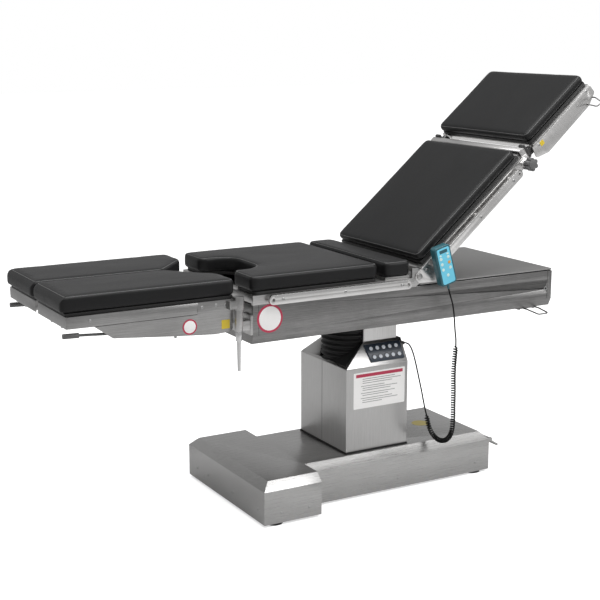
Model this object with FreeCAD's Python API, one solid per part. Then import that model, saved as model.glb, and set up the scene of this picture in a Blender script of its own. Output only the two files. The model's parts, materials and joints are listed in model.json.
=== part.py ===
import FreeCAD, Part
import math
import os

# An operating table with split leg sections, a kidney bridge, a hinged back and a head section.
# Lengths are in millimetres and angles in degrees. +X points to the head end, -Y is the side with the
# handset and +Z is up. While the pieces are made, X = Y = 0 is the middle of the column cover and the
# floor is Z = 0. Near means -Y and far means +Y.

# Base
BASE_LEG_END = -489.0
BASE_HEAD_END = 436.5
BASE_FOOT_LENGTH = 204.0
BASE_STEP = BASE_LEG_END + BASE_FOOT_LENGTH
BASE_WIDE_HALF = 274.0
BASE_NARROW_HALF = 191.0
BASE_SKIRT = 8.0
BASE_WALL = 107.0
BASE_CHAMFER = 26.0
BASE_SHEET = 3.0
BASE_WALL_TOP = BASE_SKIRT + BASE_WALL
BASE_TOP = BASE_WALL_TOP + BASE_CHAMFER

# Frame, feet and drive units inside the base
FOOT_PAD = 12.0
FOOT_STEM = 8.0
FOOT_RADIUS = 28.0
FOOT_STEM_RADIUS = 12.0
FOOT_CHAMFER = 2.0
FOOT_INSET_X = 49.0
FOOT_INSET_Y = 31.0
FRAME_BOTTOM = FOOT_PAD + FOOT_STEM
FRAME_MARGIN = 16.0
RAIL_BEAM_Y = (90.0, 150.0)
RAIL_BEAM_HEIGHT = 58.0
RAIL_BEAM_TOP = FRAME_BOTTOM + RAIL_BEAM_HEIGHT
CROSS_BEAM_HEIGHT = 40.0
CROSS_BEAM_WIDTH = 65.0
COLUMN_PLATE = 18.0
COLUMN_PLATE_MARGIN = 30.0
COLUMN_FOOT = RAIL_BEAM_TOP + COLUMN_PLATE
TRAY_SHEET = 5.0
TRAY_MARGIN = 10.0
UNIT_LENGTH = 140.0
UNIT_HEIGHT = 70.0
UNIT_FROM_COLUMN = 70.0
UNIT_SIDE_GAP = 4.0
UNIT_ROUND = 5.0

# Foot pedal at the head end of the base
PEDAL_AXIS_OUT = 8.0
PEDAL_AXIS_DROP = 3.0
PEDAL_AXIS_Z = BASE_WALL_TOP - PEDAL_AXIS_DROP
PEDAL_REACH = 42.0
PEDAL_SLOPE = 36.0
PEDAL_SHEET = 4.0
PEDAL_KNUCKLE = 6.0
PEDAL_EAR = 6.0
PEDAL_EAR_RIM = 1.0
PEDAL_INSET = 2.0
PEDAL_SIDE_GAP = 0.5
PEDAL_PIN = 3.0

# Column cover with its hipped roof
GASKET_HEIGHT = 4.0
GASKET_LIP = 2.0
COVER_HALF_X = 120.0
COVER_HALF_Y = 149.0
COVER_WALL = 280.0
COVER_ROOF = 73.0
COVER_SIDE_SLOPE = 46.0
COVER_LEG_SLOPE = 93.0
COVER_SHEET = 2.5
COVER_BOTTOM = BASE_TOP + GASKET_HEIGHT
COVER_WALL_TOP = COVER_BOTTOM + COVER_WALL
COVER_ROOF_TOP = COVER_WALL_TOP + COVER_ROOF
COVER_ROOF_HALF_Y = COVER_HALF_Y - COVER_SIDE_SLOPE
COVER_ROOF_LEG_X = COVER_LEG_SLOPE - COVER_HALF_X
CUTOUT_MARGIN = 9.0
CUTOUT_SIDE_MARGIN = 14.4
CUTOUT_TOP_MARGIN = 3.6
CUTOUT_FAR_Y = 40.0
CUTOUT_FLARE = 30.0
CUTOUT_SHEET = 2.0
CUTOUT_LAP = 6.0

# Key panel on the near slope of the roof
PANEL_LEFT_TOP = -32.0
PANEL_LEFT_FOOT = -20.0
PANEL_FROM_HEAD = 10.0
PANEL_RIGHT = COVER_HALF_X - PANEL_FROM_HEAD
PANEL_FOOT = 14.0
PANEL_HEIGHT = 62.0
PANEL_TOP = PANEL_FOOT + PANEL_HEIGHT
PANEL_SHEET = 3.0
PANEL_ROUND = 4.0
KEY_RADIUS = 7.0
KEY_HEIGHT = 1.6
KEY_COLUMNS = 5
KEY_ROWS = 2
KEY_MARGIN = 16.0
KEY_ROW_SHIFT = 4.0

# Lifting column
SLEEVE_FROM_SLOPE = 4.0
SLEEVE_FROM_HEAD = 13.0
SLEEVE_FROM_SIDE = 3.0
SLEEVE_LEG_X = COVER_ROOF_LEG_X + SLEEVE_FROM_SLOPE
SLEEVE_HEAD_X = COVER_HALF_X - SLEEVE_FROM_HEAD
SLEEVE_HALF_Y = COVER_ROOF_HALF_Y - SLEEVE_FROM_SIDE
SLEEVE_GAP = 2.5
SLEEVE_SHEET = 3.0
SLEEVE_OUT = 62.0
SLEEVE_LENGTH = 385.0
SLEEVE_TOP = COVER_ROOF_TOP + SLEEVE_OUT
SLEEVE_BOTTOM = SLEEVE_TOP - SLEEVE_LENGTH
SLEEVE_ROUND = 5.0
COLUMN_GAP = 7.0
COLUMN_WALL = 6.0
COLUMN_HOLE_GAP = 3.0
COLUMN_BELOW_SLEEVE = 40.0
COLUMN_TOP = SLEEVE_TOP - COLUMN_BELOW_SLEEVE
ACTUATOR_RADIUS = 35.0
ACTUATOR_BELOW_COLUMN = 20.0
ACTUATOR_TOP = COLUMN_TOP - ACTUATOR_BELOW_COLUMN
ACTUATOR_FLOOR = 8.0
LIFT_ROD_RADIUS = 18.0
LIFT_ROD_ROOM = 36.0
LIFT_ROD_BOTTOM = COLUMN_FOOT + ACTUATOR_FLOOR + LIFT_ROD_ROOM
RUNNING_GAP = 0.08

# Half-round bellows beside the sleeve
BELLOWS_RADIUS = 90.0
BELLOWS_FOLD = 9.0
BELLOWS_DEPTH = 95.0
BELLOWS_BOTTOM = COVER_WALL_TOP - BELLOWS_DEPTH
BELLOWS_FOLDS = 13
BELLOWS_WALL = 2.8
BELLOWS_GAP = 0.4
BELLOWS_HOLE_GAP = 2.0
BELLOWS_LIP_GAP = 0.5
BELLOWS_LEDGE = 4.0

# Tilt gear
YOKE_PLATE = 12.0
YOKE_PAST_BELLOWS = 27.0
YOKE_PAST_SLEEVE = 5.0
YOKE_CORNER = 12.0
YOKE_LEG_X = SLEEVE_LEG_X - BELLOWS_RADIUS - YOKE_PAST_BELLOWS
YOKE_HEAD_X = SLEEVE_HEAD_X + YOKE_PAST_SLEEVE
YOKE_HALF_Y = SLEEVE_HALF_Y + YOKE_PAST_SLEEVE
YOKE_TOP = SLEEVE_TOP + YOKE_PLATE
YOKE_EAR_Y = (80.0, 92.0)
YOKE_EAR_RADIUS = 25.0
YOKE_EAR_FLARE = 20.0
YOKE_EAR_SHOULDER = 10.0
PIVOT_RISE = 68.0
PIVOT_Z = YOKE_TOP + PIVOT_RISE
TRUNNION_RADIUS = 15.0
TRUNNION_OUT = 1.0
CRADLE_HALF_X = 40.0
CRADLE_HALF_Z = 25.0
CRADLE_ROUND = 8.0
CRADLE_GAP = 0.5
SHAFT_RADIUS = 18.0
SHAFT_OUT = 8.0
HANGER_GAP = 18.0
HANGER_PLATE = 12.0
HANGER_X = (CRADLE_HALF_X + HANGER_GAP, CRADLE_HALF_X + HANGER_GAP + HANGER_PLATE)
HANGER_HALF_Y = 50.0
HANGER_FOOT = 25.0
HANGER_ROUND = 20.0

# Chassis
CHASSIS_LEG_END = -510.0
CHASSIS_HEAD_END = 638.0
CHASSIS_HALF = 248.5
CHASSIS_CLEARANCE = 7.0
CHASSIS_DEPTH = 121.0
CHASSIS_FOLD_RISE = 26.0
CHASSIS_FOLD_IN = 11.5
CHASSIS_BOTTOM = YOKE_TOP + CHASSIS_CLEARANCE
CHASSIS_TOP = CHASSIS_BOTTOM + CHASSIS_DEPTH
CHASSIS_FOLD = CHASSIS_BOTTOM + CHASSIS_FOLD_RISE
CHASSIS_BOTTOM_HALF = CHASSIS_HALF - CHASSIS_FOLD_IN
CHASSIS_SHEET = 2.5
CHASSIS_MOUTH_X = 230.0
CHASSIS_MOUTH_Y = 190.0
LID_LEG_X = 92.0
LID_SHEET = 3.5
LID_ROUND = 6.0
SEAL_SHEET = 4.5
SEAL_INSET = 3.0
SEAL_RIM = 12.0
SIDE_HOLE_RADIUS = 4.0
SIDE_HOLE_IN = 26.0
SIDE_HOLE_DROP = 60.0
END_SLOT_Y = (-226.0, -190.0)
END_SLOT_DROP = 36.0
END_SLOT_HEIGHT = 7.0

# Seat section
SEAT_FRAME_HEIGHT = 29.0
SEAT_FRAME_TOP = CHASSIS_TOP + SEAT_FRAME_HEIGHT
SEAT_FRAME_SHEET = 10.0
SEAT_LEG_BAR = 30.0
SEAT_MIDDLE_BAR = 20.0
SEAT_HEAD_BAR = 14.0
SEAT_CROSS_DEPTH = 24.0
SEAT_BOARD = 10.0
PAD_THICK = 49.0
PAD_TOP = SEAT_FRAME_TOP + SEAT_BOARD + PAD_THICK
PAD_INSIDE = 0.5
PAD_HALF = CHASSIS_HALF - PAD_INSIDE
SEAT_PAD_IN = 4.0
SEAT_PAD_LENGTH = 444.0
SEAT_PAD_LEG_X = CHASSIS_LEG_END + SEAT_PAD_IN
SEAT_PAD_HEAD_X = SEAT_PAD_LEG_X + SEAT_PAD_LENGTH
SEAT_CUT_HALF = 112.0
SEAT_CUT_DEPTH = 102.0
SEAT_CUT_ROUND = 70.0
SEAT_LIP_ROUND = 24.0
PAD_CORNER = 18.0
PAD_EDGE = 11.0
BOARD_INSET = 4.0

# Hinge of the back section
HINGE_X = 87.3
HINGE_RISE = 3.8
HINGE_Z = SEAT_FRAME_TOP + HINGE_RISE
HINGE_ROUND = 16.0
HINGE_PIN = 6.0
HINGE_HEAD = 9.0
HINGE_HEAD_LENGTH = 3.5
HINGE_PLAY = 0.3
EAR_SHEET = 5.5
EAR_RISE = 31.0
EAR_TOP = SEAT_FRAME_TOP + EAR_RISE
EAR_BEHIND = 25.3
EAR_FOOT = (-31.3, -9.3)
EAR_ROUND = 4.0
SEAT_FRAME_SHORT = 13.3
SEAT_FRAME_HEAD_X = HINGE_X - SEAT_FRAME_SHORT
BACK_ANGLE = 40.5

# Kidney bridge
KIDNEY_GAP = 24.0
KIDNEY_LENGTH = 96.0
KIDNEY_LEG_X = SEAT_PAD_HEAD_X + KIDNEY_GAP
KIDNEY_HEAD_X = KIDNEY_LEG_X + KIDNEY_LENGTH
KIDNEY_SHEET = 9.0
KIDNEY_SHEET_INSET = (2.0, 6.0)
KIDNEY_POST_X = (KIDNEY_LEG_X + KIDNEY_HEAD_X) / 2
KIDNEY_POST_Y = 150.0
KIDNEY_POST_RADIUS = 10.0
KIDNEY_POST_LENGTH = 159.0
KIDNEY_GUIDE_WALL = 6.0
KIDNEY_GUIDE_RISE = 21.0

# Accessory rails
RAIL_HEIGHT = 30.0
RAIL_THICK = 10.0
RAIL_STANDOFF = 13.5
RAIL_OUTER = CHASSIS_HALF + RAIL_STANDOFF + RAIL_THICK
RAIL_HOLE = 5.0
RAIL_HOLE_IN = 14.0
SPACER_RADIUS = 9.0
SEAT_RAIL_ENDS = (-466.0, 47.0)
SEAT_RAIL_SPACERS = (-420.0, -200.0, 10.0)
BACK_RAIL_ENDS = (56.0, 500.0)
BACK_RAIL_SPACERS = (120.0, 285.0, 455.0)
BACK_RAIL_MIDDLE = -11.0

# Back section, flat: X runs along it from the hinge and Z is square to it
BACK_SIDE_PLAY = 0.8
BACK_SIDE_SHEET = 3.5
BACK_SIDE = (CHASSIS_HALF + BACK_SIDE_PLAY, CHASSIS_HALF + BACK_SIDE_PLAY + BACK_SIDE_SHEET)
BACK_LOW = -22.0
BACK_HIGH = 12.0
BACK_FLANGE = 3.0
BACK_FLANGE_OUT = 3.2
BACK_FLANGE_IN = 24.3
BACK_BOARD = 12.0
BACK_PAD_START = 36.0
BACK_PAD_LENGTH = 494.0
BACK_PAD_ENDS = (BACK_PAD_START, BACK_PAD_START + BACK_PAD_LENGTH)
BACK_PAD_THICK = 30.0
BACK_BAR_WIDTH = 24.0
BACK_BARS_AT = (22.0, 270.0)
END_BAR_GAP = 10.0
END_BAR_WIDTH = 22.0
END_BAR_PAST = 6.0
BACK_END_BAR = (BACK_PAD_ENDS[1] + END_BAR_GAP, BACK_PAD_ENDS[1] + END_BAR_GAP + END_BAR_WIDTH)
BACK_END = BACK_END_BAR[1] - END_BAR_PAST
BACK_END_BAR_RISE = 24.0
BACK_END_BAR_TOP = BACK_HIGH + BACK_END_BAR_RISE
BACK_WEB_TIP = (44.7, -68.8)
BACK_WEB_END = 84.7
BACK_WEB_ROUND = 6.0
SOCKET_LENGTH = 70.0
SOCKET_START = BACK_END_BAR[0] - SOCKET_LENGTH
SOCKET_WALL = 4.0
BACK_END_BAR_ROUND = 6.0

# Head mount, clamp knobs and head section
HEAD_TRAVEL = 70.0
TIE_LENGTH = 16.0
TIE_STOP = 4.0
BAR_Y = (225.0, 245.0)
BAR_LOW = -16.0
BAR_HIGH = 4.0
BAR_OUT = 12.0
BAR_START = SOCKET_START - HEAD_TRAVEL - TIE_LENGTH - TIE_STOP
BAR_END = BACK_END_BAR[1] + BAR_OUT
BAR_GAP = 0.3
HEAD_KNUCKLE_ROUND = 10.5
HEAD_KNUCKLE_GAP = 0.5
HEAD_AXIS = BAR_END + HEAD_KNUCKLE_ROUND + HEAD_KNUCKLE_GAP
FORK_CHEEK = 5.0
FORK_PLAY = 0.5
FORK_ROUND = 12.0
FORK_ROOT = 5.0
FORK_RISE = 33.0
FORK_TOP = BAR_HIGH + FORK_RISE
POST_CORNER = 4.0
HEAD_PIN = 5.0
CLAMP_IN = 10.0
CLAMP_S = BACK_END_BAR[0] - CLAMP_IN
CLAMP_T = (BAR_LOW + BAR_HIGH) / 2
CLAMP_BLOCK_HALF = 15.0
CLAMP_BLOCK_DEPTH = 21.2
CLAMP_BLOCK_ROUND = 4.0
CLAMP_BLOCK_OUT = BACK_SIDE[1] + CLAMP_BLOCK_DEPTH
CLAMP_SCREW = 5.0
KNOB_NECK = 2.0
KNOB_LENGTH = 28.0
KNOB_REACH = CLAMP_BLOCK_OUT + KNOB_NECK + KNOB_LENGTH
KNOB_RADIUS = 15.0
KNOB_LOBE = 7.5
KNOB_LOBES = 6
KNOB_LOBE_IN = 3.0
HEAD_SIDE_SHEET = 5.0
HEAD_SIDE = (CHASSIS_HALF, CHASSIS_HALF + HEAD_SIDE_SHEET)
HEAD_PAD_IN = 7.0
HEAD_PAD_LENGTH = 305.0
HEAD_PAD_ENDS = (HEAD_AXIS + HEAD_PAD_IN, HEAD_AXIS + HEAD_PAD_IN + HEAD_PAD_LENGTH)
HEAD_END = HEAD_PAD_ENDS[1]
HEAD_PLATE = ((HEAD_AXIS + 3.0, 8.0), (HEAD_AXIS - 3.0, -30.0), (HEAD_AXIS + 45.0, -50.0),
              (HEAD_END - 43.0, -46.0), (HEAD_END + 2.0, -26.0), (HEAD_END, 10.0))
HEAD_PLATE_ROUND = 8.0
HEAD_PLATE_HIP_ROUND = 3.0
HEAD_BAR_WIDTH = 20.0
HEAD_BARS_AT = (HEAD_AXIS + 19.0, HEAD_END - 37.0)
HEAD_CROSS_LOW = -14.0
HEAD_DECK = 5.0
HEAD_DECK_INSET = 4.0
HEAD_DECK_HIGH = BACK_HIGH + BACK_FLANGE
HEAD_DECK_LOW = HEAD_DECK_HIGH - HEAD_DECK
HEAD_HOLE = (HEAD_END - 21.0, -11.0)
HEAD_HOLE_RADIUS = 5.5

# Wire handles
WIRE_RADIUS = 2.5
WIRE_BEND = 8.0
WIRE_GAP = 0.3
PULL_AT = (-102.0, -46.0)
PULL_OUT = 43.5
PULL_DROP = (4.0, 14.0)
PULL_SKEW = (14.0, 6.0)
PULL_INSIDE = 20.0
PULL_BLOCK = (24.0, 8.0)
PULL_BLOCK_PAST = 6.0
PULL_BLOCK_GAP = 0.3
PULL_GUIDE_GAP = 0.4
PULL_GUIDE_SHEET = 3.0
PULL_GUIDE_TUCK = 4.0
PULL_GUIDE_PAST = 6.0
LOOP_AT = (-46.0, -11.0)
LOOP_OUT = 34.5
LOOP_T = -50.0
LOOP_LEG_T = -38.0
LOOP_SKEW = 6.0
LOOP_INSIDE = 16.0

# Leg sections
FOLD_OUT = 30.0
FOLD_DROP = 60.0
FOLD_X = CHASSIS_LEG_END - FOLD_OUT
FOLD_Z = CHASSIS_TOP - FOLD_DROP
LEG_EAR_Y = ((196.0, 206.0), (236.0, 246.0))
LEG_EAR_ROUND = 14.0
LEG_PLATE = 8.0
LEG_PLATE_PAST = 2.0
LEG_PLATE_HALF_Z = 30.0
LEG_PIN = 7.0
LEG_PIN_PAST = 3.0
LEG_EAR_GAP = 0.5
POST_OUT = 25.0
POST_SIDE = 13.5
POST_X = FOLD_X - POST_OUT
POST_Y = CHASSIS_HALF + POST_SIDE
BARREL_RADIUS = 12.5
BARREL_DROP = 8.0
BARREL_HEIGHT = 64.0
BARREL_BOTTOM = FOLD_Z - BARREL_DROP
BARREL_TOP = BARREL_BOTTOM + BARREL_HEIGHT
POST_RADIUS = 9.0
POST_HEIGHT = 26.0
POST_TOP = BARREL_TOP + POST_HEIGHT
KNUCKLE_ARM = (POST_X - 8.0, POST_X + 8.5)
KNUCKLE_ARM_RISE = 6.0
HUB_RADIUS = 16.5
HUB_HEIGHT = 40.0
HUB_GAP = 0.3
HUB_TOP = BARREL_TOP + HUB_HEIGHT
HUB_ARM_RISE = 6.0
HUB_ARM_PAST = 20.0
HUB_ARM_IN = 4.0
HANDLE_TOP_RADIUS = 9.0
HANDLE_WAIST_RADIUS = 6.5
HANDLE_FOOT_RADIUS = 5.0
HANDLE_NECK_LENGTH = 30.0
HANDLE_LENGTH = 92.0
HANDLE_NECK = BARREL_BOTTOM - HANDLE_NECK_LENGTH
HANDLE_FOOT = HANDLE_NECK - HANDLE_LENGTH
HANDLE_STUD = 4.0
HANDLE_STUD_LENGTH = 23.0
HANDLE_STUD_TOP = BARREL_BOTTOM + HANDLE_STUD_LENGTH
HANDLE_STUD_ROOM = 2.0
HANDLE_GAP = 0.3
LEG_PAD_GAP = 60.0
LEG_PAD_LENGTH = 532.0
LEG_PAD_HIP_X = SEAT_PAD_LEG_X - LEG_PAD_GAP
LEG_PAD_FOOT_X = LEG_PAD_HIP_X - LEG_PAD_LENGTH
LEG_PAD_OUTER = 250.0
LEG_PAD_INNER = 5.0
LEG_PAD_FOOT_ROUND = 30.0
LEG_HIP_CORNER_Y = 143.0
LEG_HIP_CORNER_X = 121.0
LEG_CROTCH_X = LEG_PAD_HIP_X - LEG_HIP_CORNER_X
LEG_BOARD = 9.0
LEG_SIDE_PLAY = 0.5
LEG_SHEET = 3.0
LEG_SIDE = (CHASSIS_HALF + LEG_SIDE_PLAY, CHASSIS_HALF + LEG_SIDE_PLAY + LEG_SHEET)
LEG_FRAME_INSET = 6.0
LEG_FRAME_FOOT_X = LEG_PAD_FOOT_X + 5.0
LEG_FRAME_HIP_X = LEG_PAD_HIP_X - 14.0
LEG_PLATE_OUTLINE = (
    (LEG_FRAME_FOOT_X, SEAT_FRAME_TOP - 34.0), (LEG_FRAME_FOOT_X + 82.0, SEAT_FRAME_TOP - 35.0),
    (LEG_FRAME_FOOT_X + 137.0, SEAT_FRAME_TOP - 75.0), (LEG_FRAME_HIP_X - 182.0, SEAT_FRAME_TOP - 92.0),
    (LEG_FRAME_HIP_X - 57.0, SEAT_FRAME_TOP - 101.0), (LEG_FRAME_HIP_X - 8.0, SEAT_FRAME_TOP - 98.0))
LEG_PLATE_ROUND = 10.0
LEG_STRIP_LENGTH = 400.0
LEG_STRIP_DEPTH = 34.0
LEG_STRIP_OUT = 1.6
LEG_STRIP_ROUND = 9.0
LEG_LIP_DEPTH = 26.0
LEG_LIP_SHORT = 10.0
LEG_HIP_BAR_DEPTH = 36.0
LEG_HIP_BAR = 20.0
LEG_PEG = 4.0
LEG_PEG_AT = 333.0
LEG_PEG_IN = 8.0
LEG_PEG_DEPTH = 99.0
LEG_PLUG = 4.0
LEG_PLUGS_IN = (47.0, 132.0)
LEG_PLUG_OUT = 5.0
LEVER_AXIS = (LEG_FRAME_FOOT_X + 153.0, SEAT_FRAME_TOP - 64.0)
LEVER_HUB = 9.0
LEVER_PIN = 4.0
LEVER_PIN_REACH = 3.0
LEVER_Y = (LEG_SIDE[0] - 15.0, LEG_SIDE[0] - 5.0)
LEVER_ROD = 4.0
LEVER_ROD_RUN = (-113.0, 7.0)
LEVER_GRIP_RUN = (-46.0, 1.5)
LEVER_GRIP = 7.5

# Handset, before it is leant over: X across, Z along it
HANDSET_FROM_HINGE = (68.8, 35.95)
HANDSET_LEAN = 15.5
HANDSET_WIDTH = 60.0
HANDSET_LENGTH = 131.0
HANDSET_THICK = 26.0
HANDSET_FROM_RAIL = 2.0
HANDSET_BACK = RAIL_OUTER + HANDSET_FROM_RAIL
HANDSET_FACE = HANDSET_BACK + HANDSET_THICK
HANDSET_ROUND = 10.0
HANDSET_RIM_ROUND = 3.0
HANDSET_FACE_MARGIN = 6.0
HANDSET_FACE_ROUND = 6.0
HANDSET_FACE_SHEET = 1.0
HANDSET_KEY_RADIUS = 5.0
HANDSET_KEY_HEIGHT = 1.0
HANDSET_KEYS = (
    (-14.0, 44.0), (14.0, 44.0), (-14.0, 26.0), (14.0, 26.0), (-14.0, 8.0), (14.0, 8.0),
    (-14.0, -10.0), (14.0, -10.0), (0.0, -32.0))
HOOK_AT = 75.0
HOOK_WIDTH = 20.0
HOOK_LAP = 2.0
HOOK_GAP = 0.3
HOOK_SHEET = 3.2
HOOK_DROP = 14.0
RELIEF_LENGTH = 16.0
RELIEF_RADIUS = 5.0
RELIEF_TIP_RADIUS = 3.75

# The handset's lead, from the handset down to the curly part and from there up to the column
LEAD_DIAMETER = 5.0
CURLY_DIAMETER = 18.0
GLAND_Y = -103.0
GLAND_BELOW_ROOF = 21.0
GLAND_Z = COVER_ROOF_TOP - GLAND_BELOW_ROOF
GLAND_RADIUS = 7.5
GLAND_SHANK_RADIUS = 5.5
GLAND_NECK_RADIUS = 6.5
GLAND_TIP_RADIUS = 4.0
GLAND_HOLE_GAP = 0.1
GLAND_LENGTH = 16.0
LEAD_STRAIGHT = 24.0
LEAD_FROM_HANDSET = (
    (194.0, -287.0, 645.0), (203.0, -287.0, 600.0), (207.0, -286.5, 552.0), (212.5, -286.5, 507.0),
    (214.0, -286.5, 480.0), (208.5, -286.5, 457.0))
CURLY_TOP = (207.0, -286.5, 440.0)
CURLY_STRAIGHT = ((206.0, -286.0, 392.0), (208.0, -286.5, 342.0), (208.0, -286.0, 292.0), (209.5, -286.0, 243.0))
CURLY_TURN_Y = -223.0
CURLY_TURN_Z = 220.0
CURLY_TURN_RADIUS = 63.0
CURLY_TURN_STEP = 30.0
CURLY_TURN_DRIFT = -2.2
LEAD_TO_COLUMN = (
    (194.0, -156.0, 232.0), (189.0, -150.0, 262.0), (182.5, -141.0, 315.0), (174.0, -134.0, 363.0),
    (167.0, -128.0, 405.0), (163.0, -117.0, 440.0), (158.0, -109.0, 461.0), (149.0, -104.5, 474.5))

# How far a cutting piece reaches past the face it cuts, and what keeps a full rounding from closing its edge
PAST = 1.0
HAIR = 0.01
LAP = 0.1


def V(x, y, z):
    return FreeCAD.Vector(x, y, z)


def box(x0, x1, y0, y1, z0, z1):
    return Part.makeBox(x1 - x0, y1 - y0, z1 - z0, V(x0, y0, z0))


def rod_x(x0, x1, y, z, radius):
    return Part.makeCylinder(radius, x1 - x0, V(x0, y, z), V(1, 0, 0))


def rod_y(x, y0, y1, z, radius):
    return Part.makeCylinder(radius, y1 - y0, V(x, y0, z), V(0, 1, 0))


def rod_z(x, y, z0, z1, radius):
    return Part.makeCylinder(radius, z1 - z0, V(x, y, z0), V(0, 0, 1))


def rod_between(start, end, radius):
    run = V(*end) - V(*start)
    return Part.makeCylinder(radius, run.Length, V(*start), run)


def fuse(first, *others):
    return first.multiFuse(list(others)).removeSplitter()


def both_sides(shape):
    """A near piece and its mirror image on the far side, in one shape."""
    return [shape, mirrored(shape)]


def mirrored(shape):
    return shape.mirror(V(0, 0, 0), V(0, 1, 0))


def place_on(axis, u, v, w):
    """A point of an outline seen along an axis: X sees (y, z), Y sees (x, z) and Z sees (x, y)."""
    return {"x": V(w, u, v), "y": V(u, w, v), "z": V(u, v, w)}[axis]


def outline(axis, corners, level):
    """A closed wire. Each corner is (u, v) or (u, v, radius of its rounding)."""
    flat = [V(corner[0], corner[1], 0) for corner in corners]
    spans = []
    for i, corner in enumerate(corners):
        here, before, after = flat[i], flat[i - 1], flat[(i + 1) % len(flat)]
        radius = corner[2] if len(corner) > 2 else 0.0
        if radius <= 0.0:
            spans.append((here,))
            continue
        back = (before - here).normalize()
        on = (after - here).normalize()
        half = back.getAngle(on) / 2
        reach = radius / math.tan(half)
        centre = here + (back + on).normalize() * (radius / math.sin(half))
        spans.append((here + back * reach, centre + (here - centre).normalize() * radius, here + on * reach))
    edges = []
    for i, span in enumerate(spans):
        points = [place_on(axis, p.x, p.y, level) for p in span]
        if len(points) == 3:
            edges.append(Part.Arc(*points).toShape())
        after = spans[(i + 1) % len(spans)][0]
        after = place_on(axis, after.x, after.y, level)
        if (after - points[-1]).Length > 1e-6:
            edges.append(Part.makeLine(points[-1], after))
    return Part.Wire(edges)


def prism(axis, corners, low, high):
    face = Part.Face(outline(axis, corners, low))
    return face.extrude(place_on(axis, 0, 0, high - low))


def inset(corners, amount):
    """The outline moved inwards by amount on every side."""
    points = [V(c[0], c[1], 0) for c in corners]
    area = sum(p.x * q.y - q.x * p.y for p, q in zip(points, points[1:] + points[:1]))
    turn = 1 if area > 0 else -1
    result = []
    for i, here in enumerate(points):
        a = (here - points[i - 1]).normalize()
        b = (points[(i + 1) % len(points)] - here).normalize()
        na = V(-a.y, a.x, 0) * turn
        nb = V(-b.y, b.x, 0) * turn
        moved = here + (na + nb) * (amount / (1 + na.dot(nb)))
        result.append((moved.x, moved.y))
    return result


def edges_along(shape, axis):
    """The straight edges that run along an axis."""
    along = {"x": V(1, 0, 0), "y": V(0, 1, 0), "z": V(0, 0, 1)}[axis]
    straight = [e for e in shape.Edges if isinstance(e.Curve, Part.Line)]
    return [e for e in straight if abs(e.tangentAt(e.FirstParameter).dot(along)) > 0.999]


def rounded_top(shape, height, radius):
    """Rounds the edges that lie wholly at one height."""
    level = [e for e in shape.Edges if all(abs(v.Z - height) < 1e-4 for v in e.Vertexes)
             and abs(e.BoundBox.ZMax - e.BoundBox.ZMin) < 1e-3]
    return shape.makeFillet(radius, level)


def raise_back(shape):
    """Turns a piece modelled flat, with its hinge at X = Z = 0, up to the angle of the back section."""
    shape = shape.copy()
    shape.rotate(V(0, 0, 0), V(0, 1, 0), -BACK_ANGLE)
    shape.translate(V(HINGE_X, 0, HINGE_Z))
    return shape


def hip_block(leg_x, head_x, half, bottom, wall_top, top, leg_slope, head_slope, side_slope):
    """A block whose top is chamfered at the sides, and at the ends where the slope isn't zero."""
    section = prism("x", ((-half, bottom), (half, bottom), (half, wall_top), (half - side_slope, top),
                          (-half + side_slope, top), (-half, wall_top)), leg_x, head_x)
    corners = [(leg_x, bottom), (head_x, bottom)]
    corners += [(head_x, wall_top), (head_x - head_slope, top)] if head_slope else [(head_x, top)]
    corners += [(leg_x + leg_slope, top), (leg_x, wall_top)] if leg_slope else [(leg_x, top)]
    return section.common(prism("y", corners, -half, half))


def base_solid(sheet):
    """The T-shaped outside of the base cover, or its inside when sheet isn't zero."""
    slope = BASE_CHAMFER
    shift = sheet * (math.sqrt(2) - 1)
    wide = hip_block(BASE_LEG_END + sheet, BASE_STEP - sheet, BASE_WIDE_HALF - sheet, BASE_SKIRT,
                     BASE_WALL_TOP - shift, BASE_TOP - sheet, slope - sheet + shift, 0.0, slope - sheet + shift)
    narrow = hip_block(BASE_STEP - BASE_CHAMFER - BASE_SHEET, BASE_HEAD_END - sheet, BASE_NARROW_HALF - sheet,
                       BASE_SKIRT, BASE_WALL_TOP - shift, BASE_TOP - sheet, 0.0, slope - sheet + shift,
                       slope - sheet + shift)
    return fuse(wide, narrow)


def column_bore():
    """The inner column's outline, seen from above."""
    return (SLEEVE_LEG_X + SLEEVE_SHEET + COLUMN_GAP, SLEEVE_HEAD_X - SLEEVE_SHEET - COLUMN_GAP,
            SLEEVE_HALF_Y - SLEEVE_SHEET - COLUMN_GAP)


def make_base_cover():
    cover = base_solid(0.0).cut(base_solid(BASE_SHEET))
    leg_x, head_x, half = column_bore()
    gap = COLUMN_HOLE_GAP
    cover = cover.cut(box(leg_x - gap, head_x + gap, -half - gap, half + gap, BASE_TOP - 2 * BASE_SHEET,
                          BASE_TOP + PAST))
    return fuse(cover, *both_sides(pedal_ear()))


def pedal_ear():
    x = BASE_HEAD_END + PEDAL_AXIS_OUT
    outer = -BASE_NARROW_HALF + PEDAL_INSET
    reach = PEDAL_KNUCKLE + PEDAL_EAR_RIM
    ear = prism("y", ((BASE_HEAD_END - PAST, PEDAL_AXIS_Z - reach), (x + reach, PEDAL_AXIS_Z - reach, reach * 0.6),
                      (x + reach, PEDAL_AXIS_Z + reach, reach * 0.6), (BASE_HEAD_END - PAST, PEDAL_AXIS_Z + reach)),
                outer, outer + PEDAL_EAR)
    pin = rod_y(x, outer + PEDAL_EAR, outer + 3 * PEDAL_EAR, PEDAL_AXIS_Z, PEDAL_PIN)
    return fuse(ear, pin)


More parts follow.
